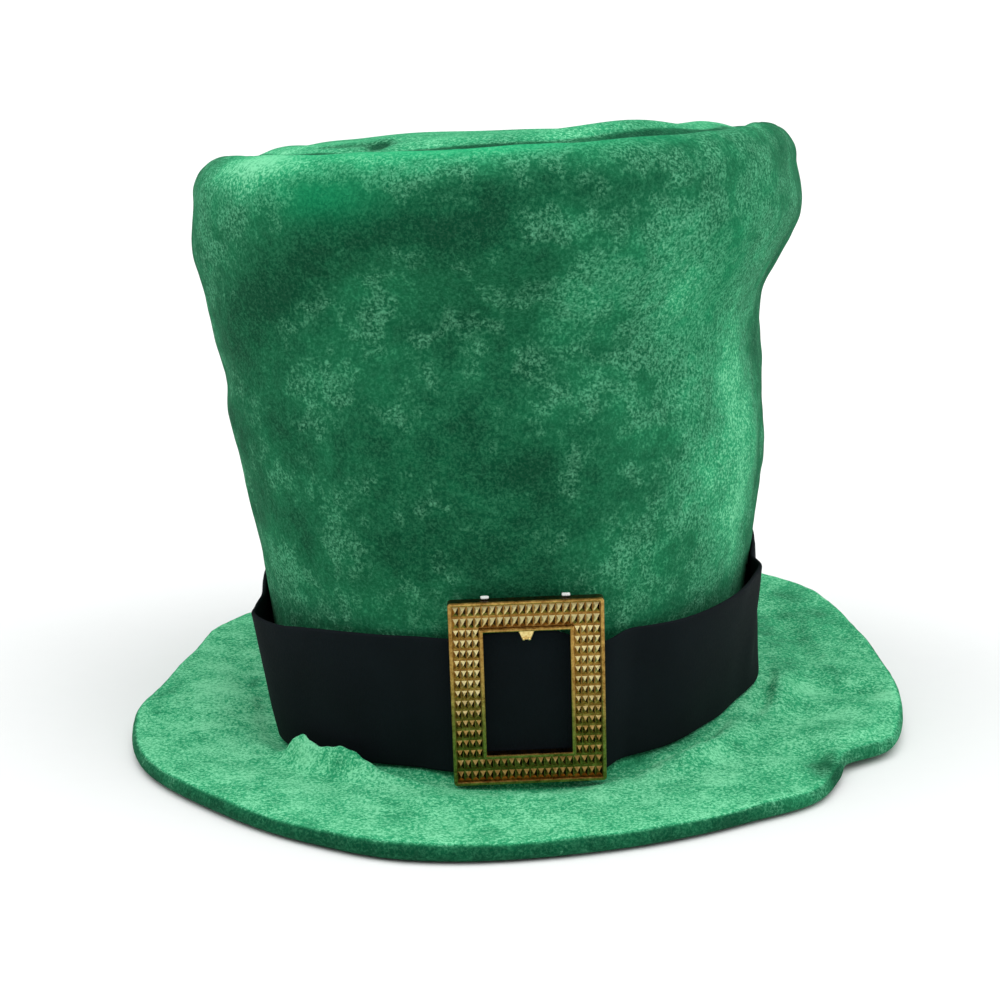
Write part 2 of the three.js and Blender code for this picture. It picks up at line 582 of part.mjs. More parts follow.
// Everything moves so that the middle of the brim's outline stands on the origin.
const outline = new THREE.Box3().setFromObject(brim);
hat.position.set(-(outline.min.x + outline.max.x) / 2, -(outline.min.y + outline.max.y) / 2, 0);

export default hat;
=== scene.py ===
"""The looks of a tall plush leprechaun hat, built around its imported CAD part.

Lengths are in metres, +Z is up and the front faces -Y. Directions are degrees about +Z from +X,
the hat's right-hand side: 90 is the back and 270 the front.
"""

import math

import bpy
import numpy as np
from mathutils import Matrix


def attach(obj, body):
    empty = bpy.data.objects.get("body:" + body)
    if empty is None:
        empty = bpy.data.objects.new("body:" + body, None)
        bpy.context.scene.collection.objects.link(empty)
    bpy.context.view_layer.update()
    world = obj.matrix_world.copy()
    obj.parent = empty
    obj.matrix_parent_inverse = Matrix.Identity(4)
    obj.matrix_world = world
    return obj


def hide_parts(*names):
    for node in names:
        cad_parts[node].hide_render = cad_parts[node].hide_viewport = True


bl_info = {
    "name": "Leprechaun Hat",
    "version": (1, 0, 0),
    "blender": (4, 5, 0),
    "location": "View3D > Sidebar > Hat",
    "description": "Builds a plush leprechaun hat with its band, buckle and studio",
    "category": "Object",
}

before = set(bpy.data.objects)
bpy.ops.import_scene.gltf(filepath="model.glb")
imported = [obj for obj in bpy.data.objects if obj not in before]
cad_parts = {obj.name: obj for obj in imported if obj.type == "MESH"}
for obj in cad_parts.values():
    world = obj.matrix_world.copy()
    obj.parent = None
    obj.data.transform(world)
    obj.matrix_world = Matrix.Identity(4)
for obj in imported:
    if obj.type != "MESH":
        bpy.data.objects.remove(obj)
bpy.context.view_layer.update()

# Sections of the crown: up, a share of the wall's height; spread, a share of the oval; deep, a
# share of that from front to back; right, a shift as a share of the oval's half length.
SECTIONS = {
    "up": (0.00, 0.27, 0.43, 0.59, 0.75, 0.83, 0.90, 1.00),
    "spread": (0.978, 1.048, 1.097, 1.128, 1.152, 1.210, 1.264, 1.280),
    "deep": (1.00, 1.00, 0.99, 0.98, 0.96, 0.94, 0.93, 0.92),
    "right": (0.000, 0.002, -0.008, -0.047, -0.068, -0.050, -0.036, -0.020),
}

# Folds of the wall: around, up, their half widths, push as a share of the oval's half width, and
# lean, the share of the height that they rise per degree.
WALL_FOLDS = (
    (262, 0.80, 34, 0.09, -0.085, -0.0030),
    (285, 0.66, 22, 0.12, 0.030, 0.0020),
    (236, 0.62, 12, 0.16, -0.030, 0.0040),
    (272, 0.45, 7, 0.22, -0.022, 0.0000),
    (205, 0.66, 14, 0.04, -0.018, 0.0030),
    (356, 1.05, 34, 0.08, -0.085, 0.0000),
    (330, 0.52, 16, 0.07, 0.030, 0.0000),
    (40, 0.55, 26, 0.12, -0.050, 0.0030),
    (95, 0.72, 30, 0.10, -0.060, -0.0020),
    (130, 0.40, 24, 0.12, 0.030, 0.0000),
    (160, 0.80, 20, 0.10, -0.035, 0.0020),
)

# Dents and bumps of the tip: right and back of its middle and radius, as shares of the oval's half
# length, and height as a share of the shoulder's radius.
TIP_FOLDS = (
    (-0.60, -0.98, 0.12, 0.30),
    (-0.52, -0.88, 0.07, -0.30),
    (0.32, -0.80, 0.25, 0.22),
    (0.20, 0.10, 0.50, -0.35),
    (-0.35, 0.45, 0.30, 0.20),
)

# The brim by direction: reach, a share of its width; seat and rim, the lift of its underside at
# the crown and at the rim, as shares of the most that it lifts there.
BRIM_ROWS = {
    "around": (5, 22, 42, 62, 90, 125, 150, 165, 180, 195, 212, 230, 246, 258, 280, 299, 311, 319, 324,
               334, 350),
    "reach": (0.97, 0.97, 1.08, 1.08, 0.96, 0.98, 0.90, 0.80, 0.80, 0.91, 0.97, 0.945, 1.03, 1.10, 0.97,
              0.96, 1.03, 0.97, 0.93, 1.08, 1.04),
    "seat": (1.00, 1.00, 0.90, 0.70, 0.40, 0.30, 0.35, 0.40, 0.35, 0.20, 0.00, 0.00, 0.12, 0.22, 0.32,
             0.38, 0.46, 0.54, 0.60, 0.78, 1.00),
    "rim": (0.65, 0.80, 1.15, 1.05, 0.00, 0.00, 0.45, 0.50, 0.40, 0.20, 0.00, 0.00, 0.00, 0.00, 0.00,
            0.00, 0.00, 0.05, 0.20, 0.15, 0.45),
}

# Gathers of the brim's top: around; from and out, where they begin and are deepest, as shares of
# its width; their half widths; and height as a share of its thickness.
GATHERS = (
    (218, 0.02, 0.15, 17, 0.13, -0.56),
    (230, 0.20, 0.28, 4, 0.07, 1.50),
    (239, 0.16, 0.24, 7, 0.08, 1.55),
    (251, 0.14, 0.20, 6, 0.07, 0.30),
    (272, 0.04, 0.16, 22, 0.15, -0.92),
    (308, 0.18, 0.28, 12, 0.09, 0.60),
    (345, 0.26, 0.36, 12, 0.10, 0.60),
    (322, 0.30, 0.80, 5, 0.25, -0.45),
    (332, 0.30, 0.85, 6, 0.20, 0.35),
    (350, 0.30, 0.75, 3, 0.25, -0.35),
    (20, 0.20, 0.55, 20, 0.10, -0.30),
    (195, 0.20, 0.50, 12, 0.20, 0.30),
)

# How far the band stands off the crown at its lower and upper edge, as shares of its standoff.
BAND_ROWS = {
    "around": (0, 20, 90, 140, 175, 200, 207, 211, 215, 223, 229, 238, 250, 257, 288, 295, 302, 320, 334,
               341, 347),
    "low": (0.90, 0.45, 0.10, 0.10, 0.10, 0.10, 0.20, 0.35, 0.50, 0.45, 0.30, 0.15, 0.0, 0.0, 0.0, 0.02,
            0.10, 0.25, 0.50, 0.75, 0.90),
    "high": (0.00, 0.00, 0.10, 0.10, 0.05, 0.05, 0.15, 0.55, 0.95, 0.86, 0.58, 0.30, 0.08, 0.0, 0.0, 0.25,
             0.50, 0.62, 0.60, 0.55, 0.08),
}


def smooth(value, low, high):
    """Rises from 0 at low to 1 at high, with level ends."""
    share = np.clip((value - low) / (high - low), 0.0, 1.0)
    return share * share * (3.0 - 2.0 * share)


def lerp(start, end, share):
    return start + (end - start) * share


def bell(first, second=0.0):
    """exp(-first^2 - second^2): 1 in the middle, and about a third one half width away."""
    return np.exp(-(first**2) - second**2)


def directions(count):
    """A row of directions in degrees, all the way round."""
    return np.arange(count)[None, :] * (360.0 / count)


def turn_between(around, other):
    """Degrees from one direction to another, between -180 and 180."""
    return (around - other + 180.0) % 360.0 - 180.0


def through(keys, values, at):
    """Cubic through rows, whose slope at a row is that of the line between its neighbours."""
    keys = np.asarray(keys, float)
    values = np.asarray(values, float)
    end = np.clip(np.searchsorted(keys, at, side="right"), 2, len(keys) - 2)
    start = end - 1
    span = keys[end] - keys[start]
    slope_start = (values[end] - values[start - 1]) / (keys[end] - keys[start - 1])
    slope_end = (values[end + 1] - values[start]) / (keys[end + 1] - keys[start])
    t = (at - keys[start]) / span
    return (
        (2 * t**3 - 3 * t**2 + 1) * values[start]
        + (t**3 - 2 * t**2 + t) * span * slope_start
        + (3 * t**2 - 2 * t**3) * values[end]
        + (t**3 - t**2) * span * slope_end
    )


def section(column, up):
    """A column of SECTIONS at a share of the wall's height."""
    keys = np.array(SECTIONS["up"])
    values = np.array(SECTIONS[column])
    keys = np.concatenate((keys[:1], keys, keys[-1:]))
    values = np.concatenate((values[:1], values, values[-1:]))
    return through(keys, values, np.clip(up, 0.0, 1.0))


def by_direction(table, column, around):
    """A column of a table of directions, joined into a loop."""
    keys = np.array(table["around"], float)
    values = np.array(table[column], float)
    keys = np.concatenate((keys[-2:] - 360, keys, keys[:2] + 360))
    values = np.concatenate((values[-2:], values, values[:2]))
    return through(keys, values, np.mod(around, 360.0))


class Hat:
    """The hat's surfaces, as formulas of a direction and of a share of height or width."""

    def __init__(self, sizes):
        self.sizes = sizes
        self.edge = sizes.brim_thickness / 2
        self.oval_turn = math.degrees(sizes.oval_turn)
        self.shoulder_sweep = math.degrees(sizes.shoulder_sweep)
        self.buckle_facing = math.degrees(sizes.buckle_facing)
        around = np.arange(0.0, 360.0, 5.0)
        self.shift = np.zeros(3)
        rim = self.place(around, 0.0, self.rim_radius(around) + self.edge, 0.0)
        self.shift = -(rim.min(0) + rim.max(0)) / 2 * (1.0, 1.0, 0.0)
        self.set_buckle()

    def oval(self, around):
        """Superellipse whose long axis is turned away from the front."""
        sizes = self.sizes
        turn = np.radians(around - self.oval_turn)
        power = sizes.oval_squareness
        along = np.abs(np.cos(turn) / sizes.oval_long) ** power
        across = np.abs(np.sin(turn) / sizes.oval_short) ** power
        return (along + across) ** (-1.0 / power)

    def crown_radius(self, around, up):
        """The oval at its section, plus the sum of bell-shaped folds that fade out at the foot."""
        folds = 0.0
        for fold_around, fold_up, half_around, half_up, push, lean in WALL_FOLDS:
            turn = turn_between(around, fold_around)
            rise = up - fold_up - lean * turn
            folds = folds + push * bell(turn / half_around, rise / half_up)
        folds = folds * self.sizes.oval_short * smooth(up, 0.0, self.sizes.foot_ease)
        return self.oval(around) * section("spread", up) + folds

    def place(self, around, up, radius, height):
        """Point at a radius and a height, carried by the shift of its section."""
        turn = np.radians(around)
        x = section("right", up) * self.sizes.oval_long + radius * np.cos(turn)
        y = section("deep", up) * radius * np.sin(turn)
        parts = np.broadcast_arrays(x, y, height)
        return np.stack(parts, axis=-1) + self.shift

    def opening_radius(self, around):
        return self.crown_radius(around, 0.0) - self.sizes.crown_wall

    def rim_radius(self, around):
        """Radius where the brim's rolled edge begins."""
        reach = by_direction(BRIM_ROWS, "reach", around)
        return self.crown_radius(around, 0.0) + self.sizes.brim_width * reach - self.edge

    def brim_under(self, around, out):
        """Height of the brim's underside at a share of the way out."""
        seat = self.sizes.seat_lift * by_direction(BRIM_ROWS, "seat", around)
        rim = self.sizes.rim_lift * by_direction(BRIM_ROWS, "rim", around)
        return np.maximum(0.0, lerp(seat, rim, smooth(out, 0.0, self.sizes.lift_reach)))

    def brim_top(self, around, out):
        """Height of its top: the padding, plus the sum of bell-shaped gathers."""
        gathers = 0.0
        for centre, begin, deep, half_around, half_out, height in GATHERS:
            swell = bell(turn_between(around, centre) / half_around, (out - deep) / half_out)
            gathers = gathers + height * swell * smooth(out, begin, begin + self.sizes.gather_ease)
        gathers = gathers * self.sizes.brim_thickness * smooth(1.0 - out, 0.0, self.sizes.rim_ease)
        return self.brim_under(around, out) + self.sizes.brim_thickness + gathers

    def brim_point(self, around, out, height):
        radius = lerp(self.opening_radius(around), self.rim_radius(around), out)
        return self.place(around, 0.0, radius, height)

    def foot_height(self, around):
        return self.brim_top(around, 0.0) + self.sizes.gap

    def shoulder_height(self, around):
        sizes = self.sizes
        turn = np.radians(around)
        base = sizes.crown_height - sizes.shoulder_radius
        return base + sizes.rise_right * np.cos(turn) - sizes.rise_front * np.sin(turn)

    def wall_point(self, around, up, inset):
        height = lerp(self.foot_height(around), self.shoulder_height(around), up)
        return self.place(around, up, self.crown_radius(around, up) - inset, height)

    def shoulder_point(self, around, sweep, inset):
        """The shoulder: an arc from the top of the wall, turned over by an angle in degrees."""
        angle = np.radians(sweep)
        radius = self.sizes.shoulder_radius - inset
        wall_top = self.crown_radius(around, 1.0) - self.sizes.shoulder_radius
        height = self.shoulder_height(around) + radius * np.sin(angle)
        return self.place(around, 1.0, wall_top + radius * np.cos(angle), height)

    def tip_point(self, around, inward, inset):
        """From the seam to the middle: a low dome, dents and bumps over a straight line."""
        sizes = self.sizes
        seam_gap = math.degrees(sizes.gap / (sizes.shoulder_radius - sizes.crown_wall))
        seam = self.shoulder_point(around, self.shoulder_sweep + seam_gap, inset)
        middle = self.place(0.0, 1.0, 0.0, sizes.crown_height - inset)
        point = lerp(seam, middle, np.asarray(inward)[..., None])
        lift = sizes.tip_dome * np.sin(np.pi / 2 * np.minimum(1.0, inward / sizes.tip_dome_reach))
        for right, back, radius, height in TIP_FOLDS:
            away = np.hypot(
                point[..., 0] - middle[0] - right * sizes.oval_long,
                point[..., 1] - middle[1] - back * sizes.oval_long,
            )
            lift = lift + height * sizes.shoulder_radius * bell(away / (radius * sizes.oval_long))
        point[..., 2] += lift * smooth(inward, 0.0, sizes.tip_ease)
        return point

    def set_buckle(self):
        """The buckle's leaning plane, just clear of the band over the crown behind it."""
        sizes = self.sizes
        facing = sizes.buckle_facing
        lean = sizes.buckle_lean
        self.facing = np.array((math.cos(facing), math.sin(facing), 0.0))
        self.normal = np.array((
            math.cos(facing) * math.cos(lean),
            math.sin(facing) * math.cos(lean),
            -math.sin(lean),
        ))
        wall_height = sizes.crown_height - sizes.shoulder_radius - sizes.brim_thickness
        self.band_share = sizes.band_width / wall_height
        self.half_turn = math.degrees(math.atan(sizes.buckle_width / 2 / sizes.oval_long))
        behind = np.linspace(-1.0, 1.0, 9)[:, None] * self.half_turn + self.buckle_facing
        up = np.linspace(0.0, 1.0, 9)[None, :] * sizes.buckle_height / wall_height
        reached = (self.wall_point(behind, up, 0.0) - self.shift) @ self.normal
        self.band_plane = reached.max() + sizes.band_clearance + sizes.band_thickness
        rise = math.cos(lean) * sizes.buckle_height / 2
        middle = float(self.band_foot(np.array(self.buckle_facing))) - sizes.buckle_drop + rise
        ahead = self.band_plane + sizes.buckle_clearance - middle * self.normal[2]
        distance = ahead / (self.facing @ self.normal)
        self.buckle_origin = self.facing * distance + (0.0, 0.0, middle) + self.shift

    def buckle_axes(self):
        """The buckle's own right, up and outward directions, as rows."""
        side = np.array((-self.facing[1], self.facing[0], 0.0))
        rise = np.cross(self.normal, side)
        roll = self.sizes.buckle_roll
        right = math.cos(roll) * side + math.sin(roll) * rise
        up = math.cos(roll) * rise - math.sin(roll) * side
        return np.stack((right, up, self.normal))

    def band_radius(self, around, share):
        """The crown's radius plus the band's standoff, straightened behind the buckle."""
        sizes = self.sizes
        up = share * self.band_share
        low = by_direction(BAND_ROWS, "low", around)
        high = by_direction(BAND_ROWS, "high", around)
        standoff = sizes.band_standoff * lerp(low, high, share)
        free = self.crown_radius(around, up) + sizes.band_clearance + sizes.band_thickness + standoff
        turn = np.radians(around)
        direction = np.stack(np.broadcast_arrays(np.cos(turn), np.sin(turn), 0.0), axis=-1)
        centre = self.wall_point(around, up, self.crown_radius(around, up)) - self.shift
        ahead = direction @ self.normal
        straight = (self.band_plane - centre @ self.normal) / np.where(ahead > 0.1, ahead, 1.0)
        away = np.abs(turn_between(around, self.buckle_facing))
        held = 1.0 - smooth(away, sizes.band_hold * self.half_turn, sizes.band_release * self.half_turn)
        return free + np.where(ahead > 0.1, held * np.maximum(0.0, straight - free), 0.0)

    def band_foot(self, around):
        """Height of the band's lower edge: clear of the highest of the brim beneath it."""
        inner = self.opening_radius(around)
        out = (self.band_radius(around, 0.0) - inner) / (self.rim_radius(around) - inner)
        near = self.sizes.band_footing
        over = [self.brim_top(around, at) for at in (out - near, out, out + near)]
        return np.maximum.reduce(over) + self.sizes.gap

    def band_point(self, around, share, inset):
        height = self.band_foot(around) + share * self.sizes.band_width
        return self.place(around, share * self.band_share, self.band_radius(around, share) - inset, height)



def soft_noise(shape, pitch, wave, seed):
    """Seeded noise on a grid that wraps both ways: white noise, whose spectrum is kept near one
    wavelength by r^2 exp(1 - r^2) with r = wave * frequency, scaled to a spread of 1."""
    rows = np.fft.fftfreq(shape[0], pitch[0])[:, None]
    columns = np.fft.rfftfreq(shape[1], pitch[1])[None, :]
    ratio = np.hypot(rows, columns) * wave
    keep = ratio**2 * np.exp(1.0 - ratio**2)
    white = np.random.default_rng(seed).standard_normal(shape)
    field = np.fft.irfft2(np.fft.rfft2(white) * keep, shape)
    return field / field.std()


def plan_noise(points, wave, seed):
    """Seeded noise over the ground plan: the sum of cosines of random direction and phase, near one
    wavelength, scaled to a spread of 1."""
    random = np.random.default_rng(seed)
    count = 24
    heading = random.uniform(0.0, 2 * np.pi, count)
    rate = 2 * np.pi / wave * random.uniform(0.6, 1.3, count)
    phase = random.uniform(0.0, 2 * np.pi, count)
    across = points[..., 0, None] * np.cos(heading) + points[..., 1, None] * np.sin(heading)
    return np.cos(across * rate + phase).sum(-1) / math.sqrt(count / 2)


def patches(table, around, along):
    """Sum of leaning bells: weight * exp(-(turn / half turn)^2 - (rise / half rise)^2)."""
    total = np.zeros(np.broadcast(around, along).shape)
    for centre, at, half_around, half_along, lean, weight in table:
        turn = turn_between(around, centre)
        rise = along - at - lean * turn
        total += weight * bell(turn / half_around, rise / half_along)
    return total


def grid_normals(points):
    """Unit cross product of the differences around and along, on a grid of stations by
    directions that wraps both ways."""
    around = np.roll(points, -1, axis=1) - np.roll(points, 1, axis=1)
    along = np.roll(points, -1, axis=0) - np.roll(points, 1, axis=0)
    normal = np.cross(around, along)
    length = np.linalg.norm(normal, axis=-1, keepdims=True)
    return normal / np.maximum(length, 1e-12)


def grid_faces(rows, columns, closed_rows):
    """Quads of a grid that wraps round its columns and, if closed, its rows."""
    last = rows if closed_rows else rows - 1
    row = np.arange(last)[:, None]
    column = np.arange(columns)[None, :]
    across = (column + 1) % columns
    up = (row + 1) % rows
    corners = (row * columns + column, row * columns + across, up * columns + across, up * columns + column)
    return np.stack([np.broadcast_to(corner, (last, columns)) for corner in corners], axis=-1).reshape(-1, 4)


def mesh_object(name, vertices, faces, flat=False, attributes=(), uv=None):
    """A mesh object at the origin from whole arrays: quads as rows of 4, triangles as rows of 3.

    An attribute has a value for each vertex or for each face."""
    faces = [np.asarray(block) for block in (faces if isinstance(faces, list) else [faces])]
    mesh = bpy.data.meshes.new(name)
    counts = np.concatenate([np.full(len(block), block.shape[1]) for block in faces])
    corners = np.concatenate([block.ravel() for block in faces])
    mesh.vertices.add(len(vertices))
    mesh.vertices.foreach_set("co", np.asarray(vertices, np.float32).ravel())
    mesh.loops.add(len(corners))
    mesh.loops.foreach_set("vertex_index", corners.astype(np.int32))
    mesh.polygons.add(len(counts))
    starts = np.concatenate(([0], np.cumsum(counts)[:-1]))
    mesh.polygons.foreach_set("loop_start", starts.astype(np.int32))
    mesh.polygons.foreach_set("use_smooth", np.full(len(counts), not flat))
    for label, values in attributes:
        values = np.asarray(values, np.float32).ravel()
        layer = mesh.attributes.new(label, "FLOAT", "POINT" if len(values) == len(vertices) else "FACE")
        layer.data.foreach_set("value", values)
    if uv is not None:
        layer = mesh.uv_layers.new(name="cloth")
        layer.data.foreach_set("uv", np.asarray(uv, np.float32)[corners].ravel())
    mesh.update(calc_edges=True)
    mesh.validate()
    piece = bpy.data.objects.new(name, mesh)
    bpy.context.scene.collection.objects.link(piece)
    return piece


def capped(points):
    """Vertices and faces of stations that start and end in a pole each."""
    rows, columns = points.shape[:2]
    body = points[1:-1].reshape(-1, 3)
    inner = rows - 2
    quads = grid_faces(inner, columns, False)
    first, last = inner * columns, inner * columns + 1
    column = np.arange(columns)
    across = (column + 1) % columns
    start = np.stack((np.full(columns, first), across, column), axis=-1)
    base = (inner - 1) * columns
    end = np.stack((np.full(columns, last), base + column, base + across), axis=-1)
    vertices = np.concatenate((body, points[:1, 0], points[-1:, 0]))
    return vertices, [quads, start, end]


def capped_values(values):
    """Values on a grid of stations, in the order of the vertices that capped makes."""
    return np.concatenate((values[1:-1].ravel(), values[:1, 0], values[-1:, 0]))


class Socket:
    """An output of a shader node, on which +, - and * add Math nodes."""

    def __init__(self, tree, socket):
        self.tree = tree
        self.socket = socket

    def __getitem__(self, name):
        """Another output of the same node."""
        return Socket(self.tree, pick(self.socket.node.outputs, name))

    def math(self, operation, first, second):
        return self.tree.node("ShaderNodeMath", {"operation": operation}, {0: first, 1: second})

    def __add__(self, other):
        return self.math("ADD", self, other)

    def __radd__(self, other):
        return self.math("ADD", other, self)

    def __sub__(self, other):
        return self.math("SUBTRACT", self, other)

    def __rsub__(self, other):
        return self.math("SUBTRACT", other, self)

    def __mul__(self, other):
        return self.math("MULTIPLY", self, other)

    def __rmul__(self, other):
        return self.math("MULTIPLY", other, self)


def pick(sockets, key):
    """A socket by its place, or the first one in use that has the name."""
    if isinstance(key, int):
        return sockets[key]
    return next(socket for socket in sockets if socket.name == key and socket.enabled)


class Material:
    """One material's nodes. Its shader is a Principled BSDF."""

    def __init__(self, name, constants):
        self.block = bpy.data.materials.new(name)
        self.block.use_nodes = True
        self.nodes = self.block.node_tree.nodes
        self.nodes.clear()
        output = self.nodes.new("ShaderNodeOutputMaterial")
        self.shader = self.nodes.new("ShaderNodeBsdfPrincipled")
        self.block.node_tree.links.new(self.shader.outputs[0], output.inputs["Surface"])
        for label, value in constants.items():
            self.shader.inputs[label].default_value = value

    def node(self, kind, settings=None, inputs=None):
        """A node of a type: settings first, a ramp's stops among them, then values or links."""
        made = self.nodes.new(kind)
        for label, value in (settings or {}).items():
            if label == "stops":
                ramp = made.color_ramp.elements
                while len(ramp) < len(value):
                    ramp.new(0.5)
                for element, (position, colour) in zip(ramp, value):
                    element.position = position
                    element.color = (*colour, 1.0)
            else:
                setattr(made, label, value)
        for key, value in (inputs or {}).items():
            target = pick(made.inputs, key)
            if isinstance(value, Socket):
                self.block.node_tree.links.new(value.socket, target)
            else:
                target.default_value = value
        first = next(socket for socket in made.outputs if socket.enabled)
        return Socket(self, first)

    def place(self):
        return self.node("ShaderNodeTexCoord")["Object"]

    def attribute(self, name):
        return self.node("ShaderNodeAttribute", {"attribute_name": name})["Fac"]

    def noise(self, vector, wave, detail=2.0, roughness=0.5, distortion=0.0):
        """Noise from 0 to 1 whose features are about one wave across, in metres."""
        inputs = {"Vector": vector, "Scale": 1.0 / wave, "Detail": detail, "Roughness": roughness,
                  "Distortion": distortion}
        return self.node("ShaderNodeTexNoise", None, inputs)

    def stretched(self, vector, scale):
        return self.node("ShaderNodeVectorMath", {"operation": "MULTIPLY"}, {0: vector, 1: scale})

    def between(self, value, low, high):
        """0 below low, 1 above high, and a smooth step between them."""
        inputs = {"Value": value, "From Min": low, "From Max": high}
        return self.node("ShaderNodeMapRange", {"interpolation_type": "SMOOTHSTEP"}, inputs)

    def mixed(self, factor, first, second):
        """A colour between two colours."""
        inputs = {"Factor": factor, "A": first, "B": second}
        return self.node("ShaderNodeMix", {"data_type": "RGBA"}, inputs)

    def ramp(self, value, stops):
        return self.node("ShaderNodeValToRGB", {"stops": stops}, {"Fac": value})["Color"]

    def bump(self, height, distance, strength):
        inputs = {"Height": height, "Distance": distance, "Strength": strength}
        return self.node("ShaderNodeBump", None, inputs)

    def feed(self, label, value):
        """A link to one of the shader's own sockets."""
        self.block.node_tree.links.new(value.socket, self.shader.inputs[label])


def rgba(colour):
    return (*colour, 1.0)


def plush_material(colours, finish):
    """Crushed short pile: bright curled tips about a millimetre wide over a darker ground, with
    fewer of them where the pile lies down.

    The attribute nap is the tone from dark to light: the pile's crushed pattern,
    with painted light and shade in it, lighter on the brim, the tip and the shoulder's top, and
    darker on the brim's rolled edge, under the band, in the brim's fold and in the tip's seam and pit.
    fresh is 1 where the pile is uncrushed and of a stronger green, and backing is 1 on the inside."""
    known = bpy.data.materials.get("Green plush")
    if known:
        return known
    plush = Material("Green plush", {
        "Roughness": 0.85,
        "Specular IOR Level": 0.02,
        "Sheen Weight": finish.sheen,
        "Sheen Roughness": 0.4,
        "Sheen Tint": rgba(colours.sheen),
    })
    place = plush.place()
    curl = plush.noise(place, finish.tuft_size, 4.0, 0.65, 0.5)
    tip = plush.between(curl, 0.38, 0.74)
    clump = plush.noise(place, finish.clump_size, 2.0, 0.5, 0.4)
    drift = plush.noise(place, finish.drift_size, 2.0, 0.5, 0.4)
    # The pile's crushed pattern, with painted light and shade added to it on each piece.
    nap = plush.attribute("nap")
    ground = nap + 0.32 * (clump - 0.5) + 0.14 * (drift - 0.5)
    lively = plush.between(0.35 * clump + 0.65 * drift + 0.6 * (nap - 0.30), 0.45, 0.63)
    tone = ground + (0.22 + 0.34 * lively) * (tip - 0.35)
    pile = plush.ramp(tone, (
        (0.00, colours.plush_dark),
        (0.35, colours.plush_middle),
        (0.70, colours.plush_bright),
        (1.00, colours.plush_light),
    ))
    crushed = 1.0 - plush.between(ground, 0.50, 0.90)
    pile = plush.mixed((0.12 + 0.60 * lively) * tip * crushed, pile, rgba(colours.plush_frost))
    fresh = plush.attribute("fresh")
    pile = plush.mixed(fresh * (0.6 + 0.4 * tip), pile, rgba(colours.plush_fresh))
    knit = plush.noise(place, 0.0011, 1.0)
    back = plush.mixed(knit, rgba([0.7 * part for part in colours.backing]), rgba(colours.backing))
    backing = plush.attribute("backing")
    plush.feed("Base Color", plush.mixed(backing, pile, back))
    plush.feed("Normal", plush.bump(curl + 0.8 * clump, finish.pile_height, 0.8))
    return plush.block


def band_material(colours):
    """Matte black cloth: a fine brushed grain with faint streaks down the band."""
    known = bpy.data.materials.get("Black band cloth")
    if known:
        return known
    cloth = Material("Black band cloth", {
        "Specular IOR Level": 0.12,
    })
    weave = cloth.node("ShaderNodeUVMap", {"uv_map": "cloth"})
    fibres = cloth.noise(cloth.stretched(weave, (1.0, 0.35, 1.0)), 0.0006, 2.0, 0.6)
    cloudy = cloth.noise(cloth.place(), 0.02, 3.0, 0.5)
    tone = fibres * 0.6 + cloudy * 0.4
    dark = [0.6 * part for part in colours.band]
    light = [1.4 * part for part in colours.band]
    cloth.feed("Base Color", cloth.ramp(tone, ((0.3, dark), (0.8, light))))
    cloth.feed("Roughness", cloth.between(fibres, 0.2, 0.8) * 0.15 + 0.8)
    cloth.feed("Normal", cloth.bump(fibres, 0.0002, 0.5))
    return cloth.block


def gilt_material(colours):
    """Metallised plastic with painted reflections: cream on the facets that face up, where the top light
    would be reflected, brown in the grooves and dark on the facets that face sideways.

    The attribute plating is 0 where it is darkest and 1 where it is brightest."""
    known = bpy.data.materials.get("Gilt plastic")
    if known:
        return known
    gilt = Material("Gilt plastic", {"Metallic": 1.0})
    place = gilt.place()
    tarnish = gilt.noise(place, 0.003, 3.0, 0.6)
    specks = gilt.noise(place, 0.0008, 2.0, 0.6)
    tone = gilt.attribute("plating") + 0.5 * (tarnish - 0.5) + 0.5 * (specks - 0.5)
    gilt.feed("Base Color", gilt.ramp(tone, (
        (0.00, colours.gilt_dark),
        (0.35, colours.gilt_middle),
        (0.65, colours.gilt),
        (1.00, colours.gilt_light),
    )))
    gilt.feed("Roughness", 0.16 + 0.18 * tarnish + 0.12 * specks)
    gilt.feed("Normal", gilt.bump(specks, 0.00008, 0.4))
    return gilt.block


def nylon_material(colours):
    """White nylon, slightly cloudy."""
    known = bpy.data.materials.get("White nylon")
    if known:
        return known
    nylon = Material("White nylon", {"Roughness": 0.35, "Specular IOR Level": 0.5})
    cloudy = nylon.noise(nylon.place(), 0.002, 2.0)
    shade = [0.8 * part for part in colours.nylon]
    nylon.feed("Base Color", nylon.mixed(cloudy, rgba(shade), rgba(colours.nylon)))
    return nylon.block


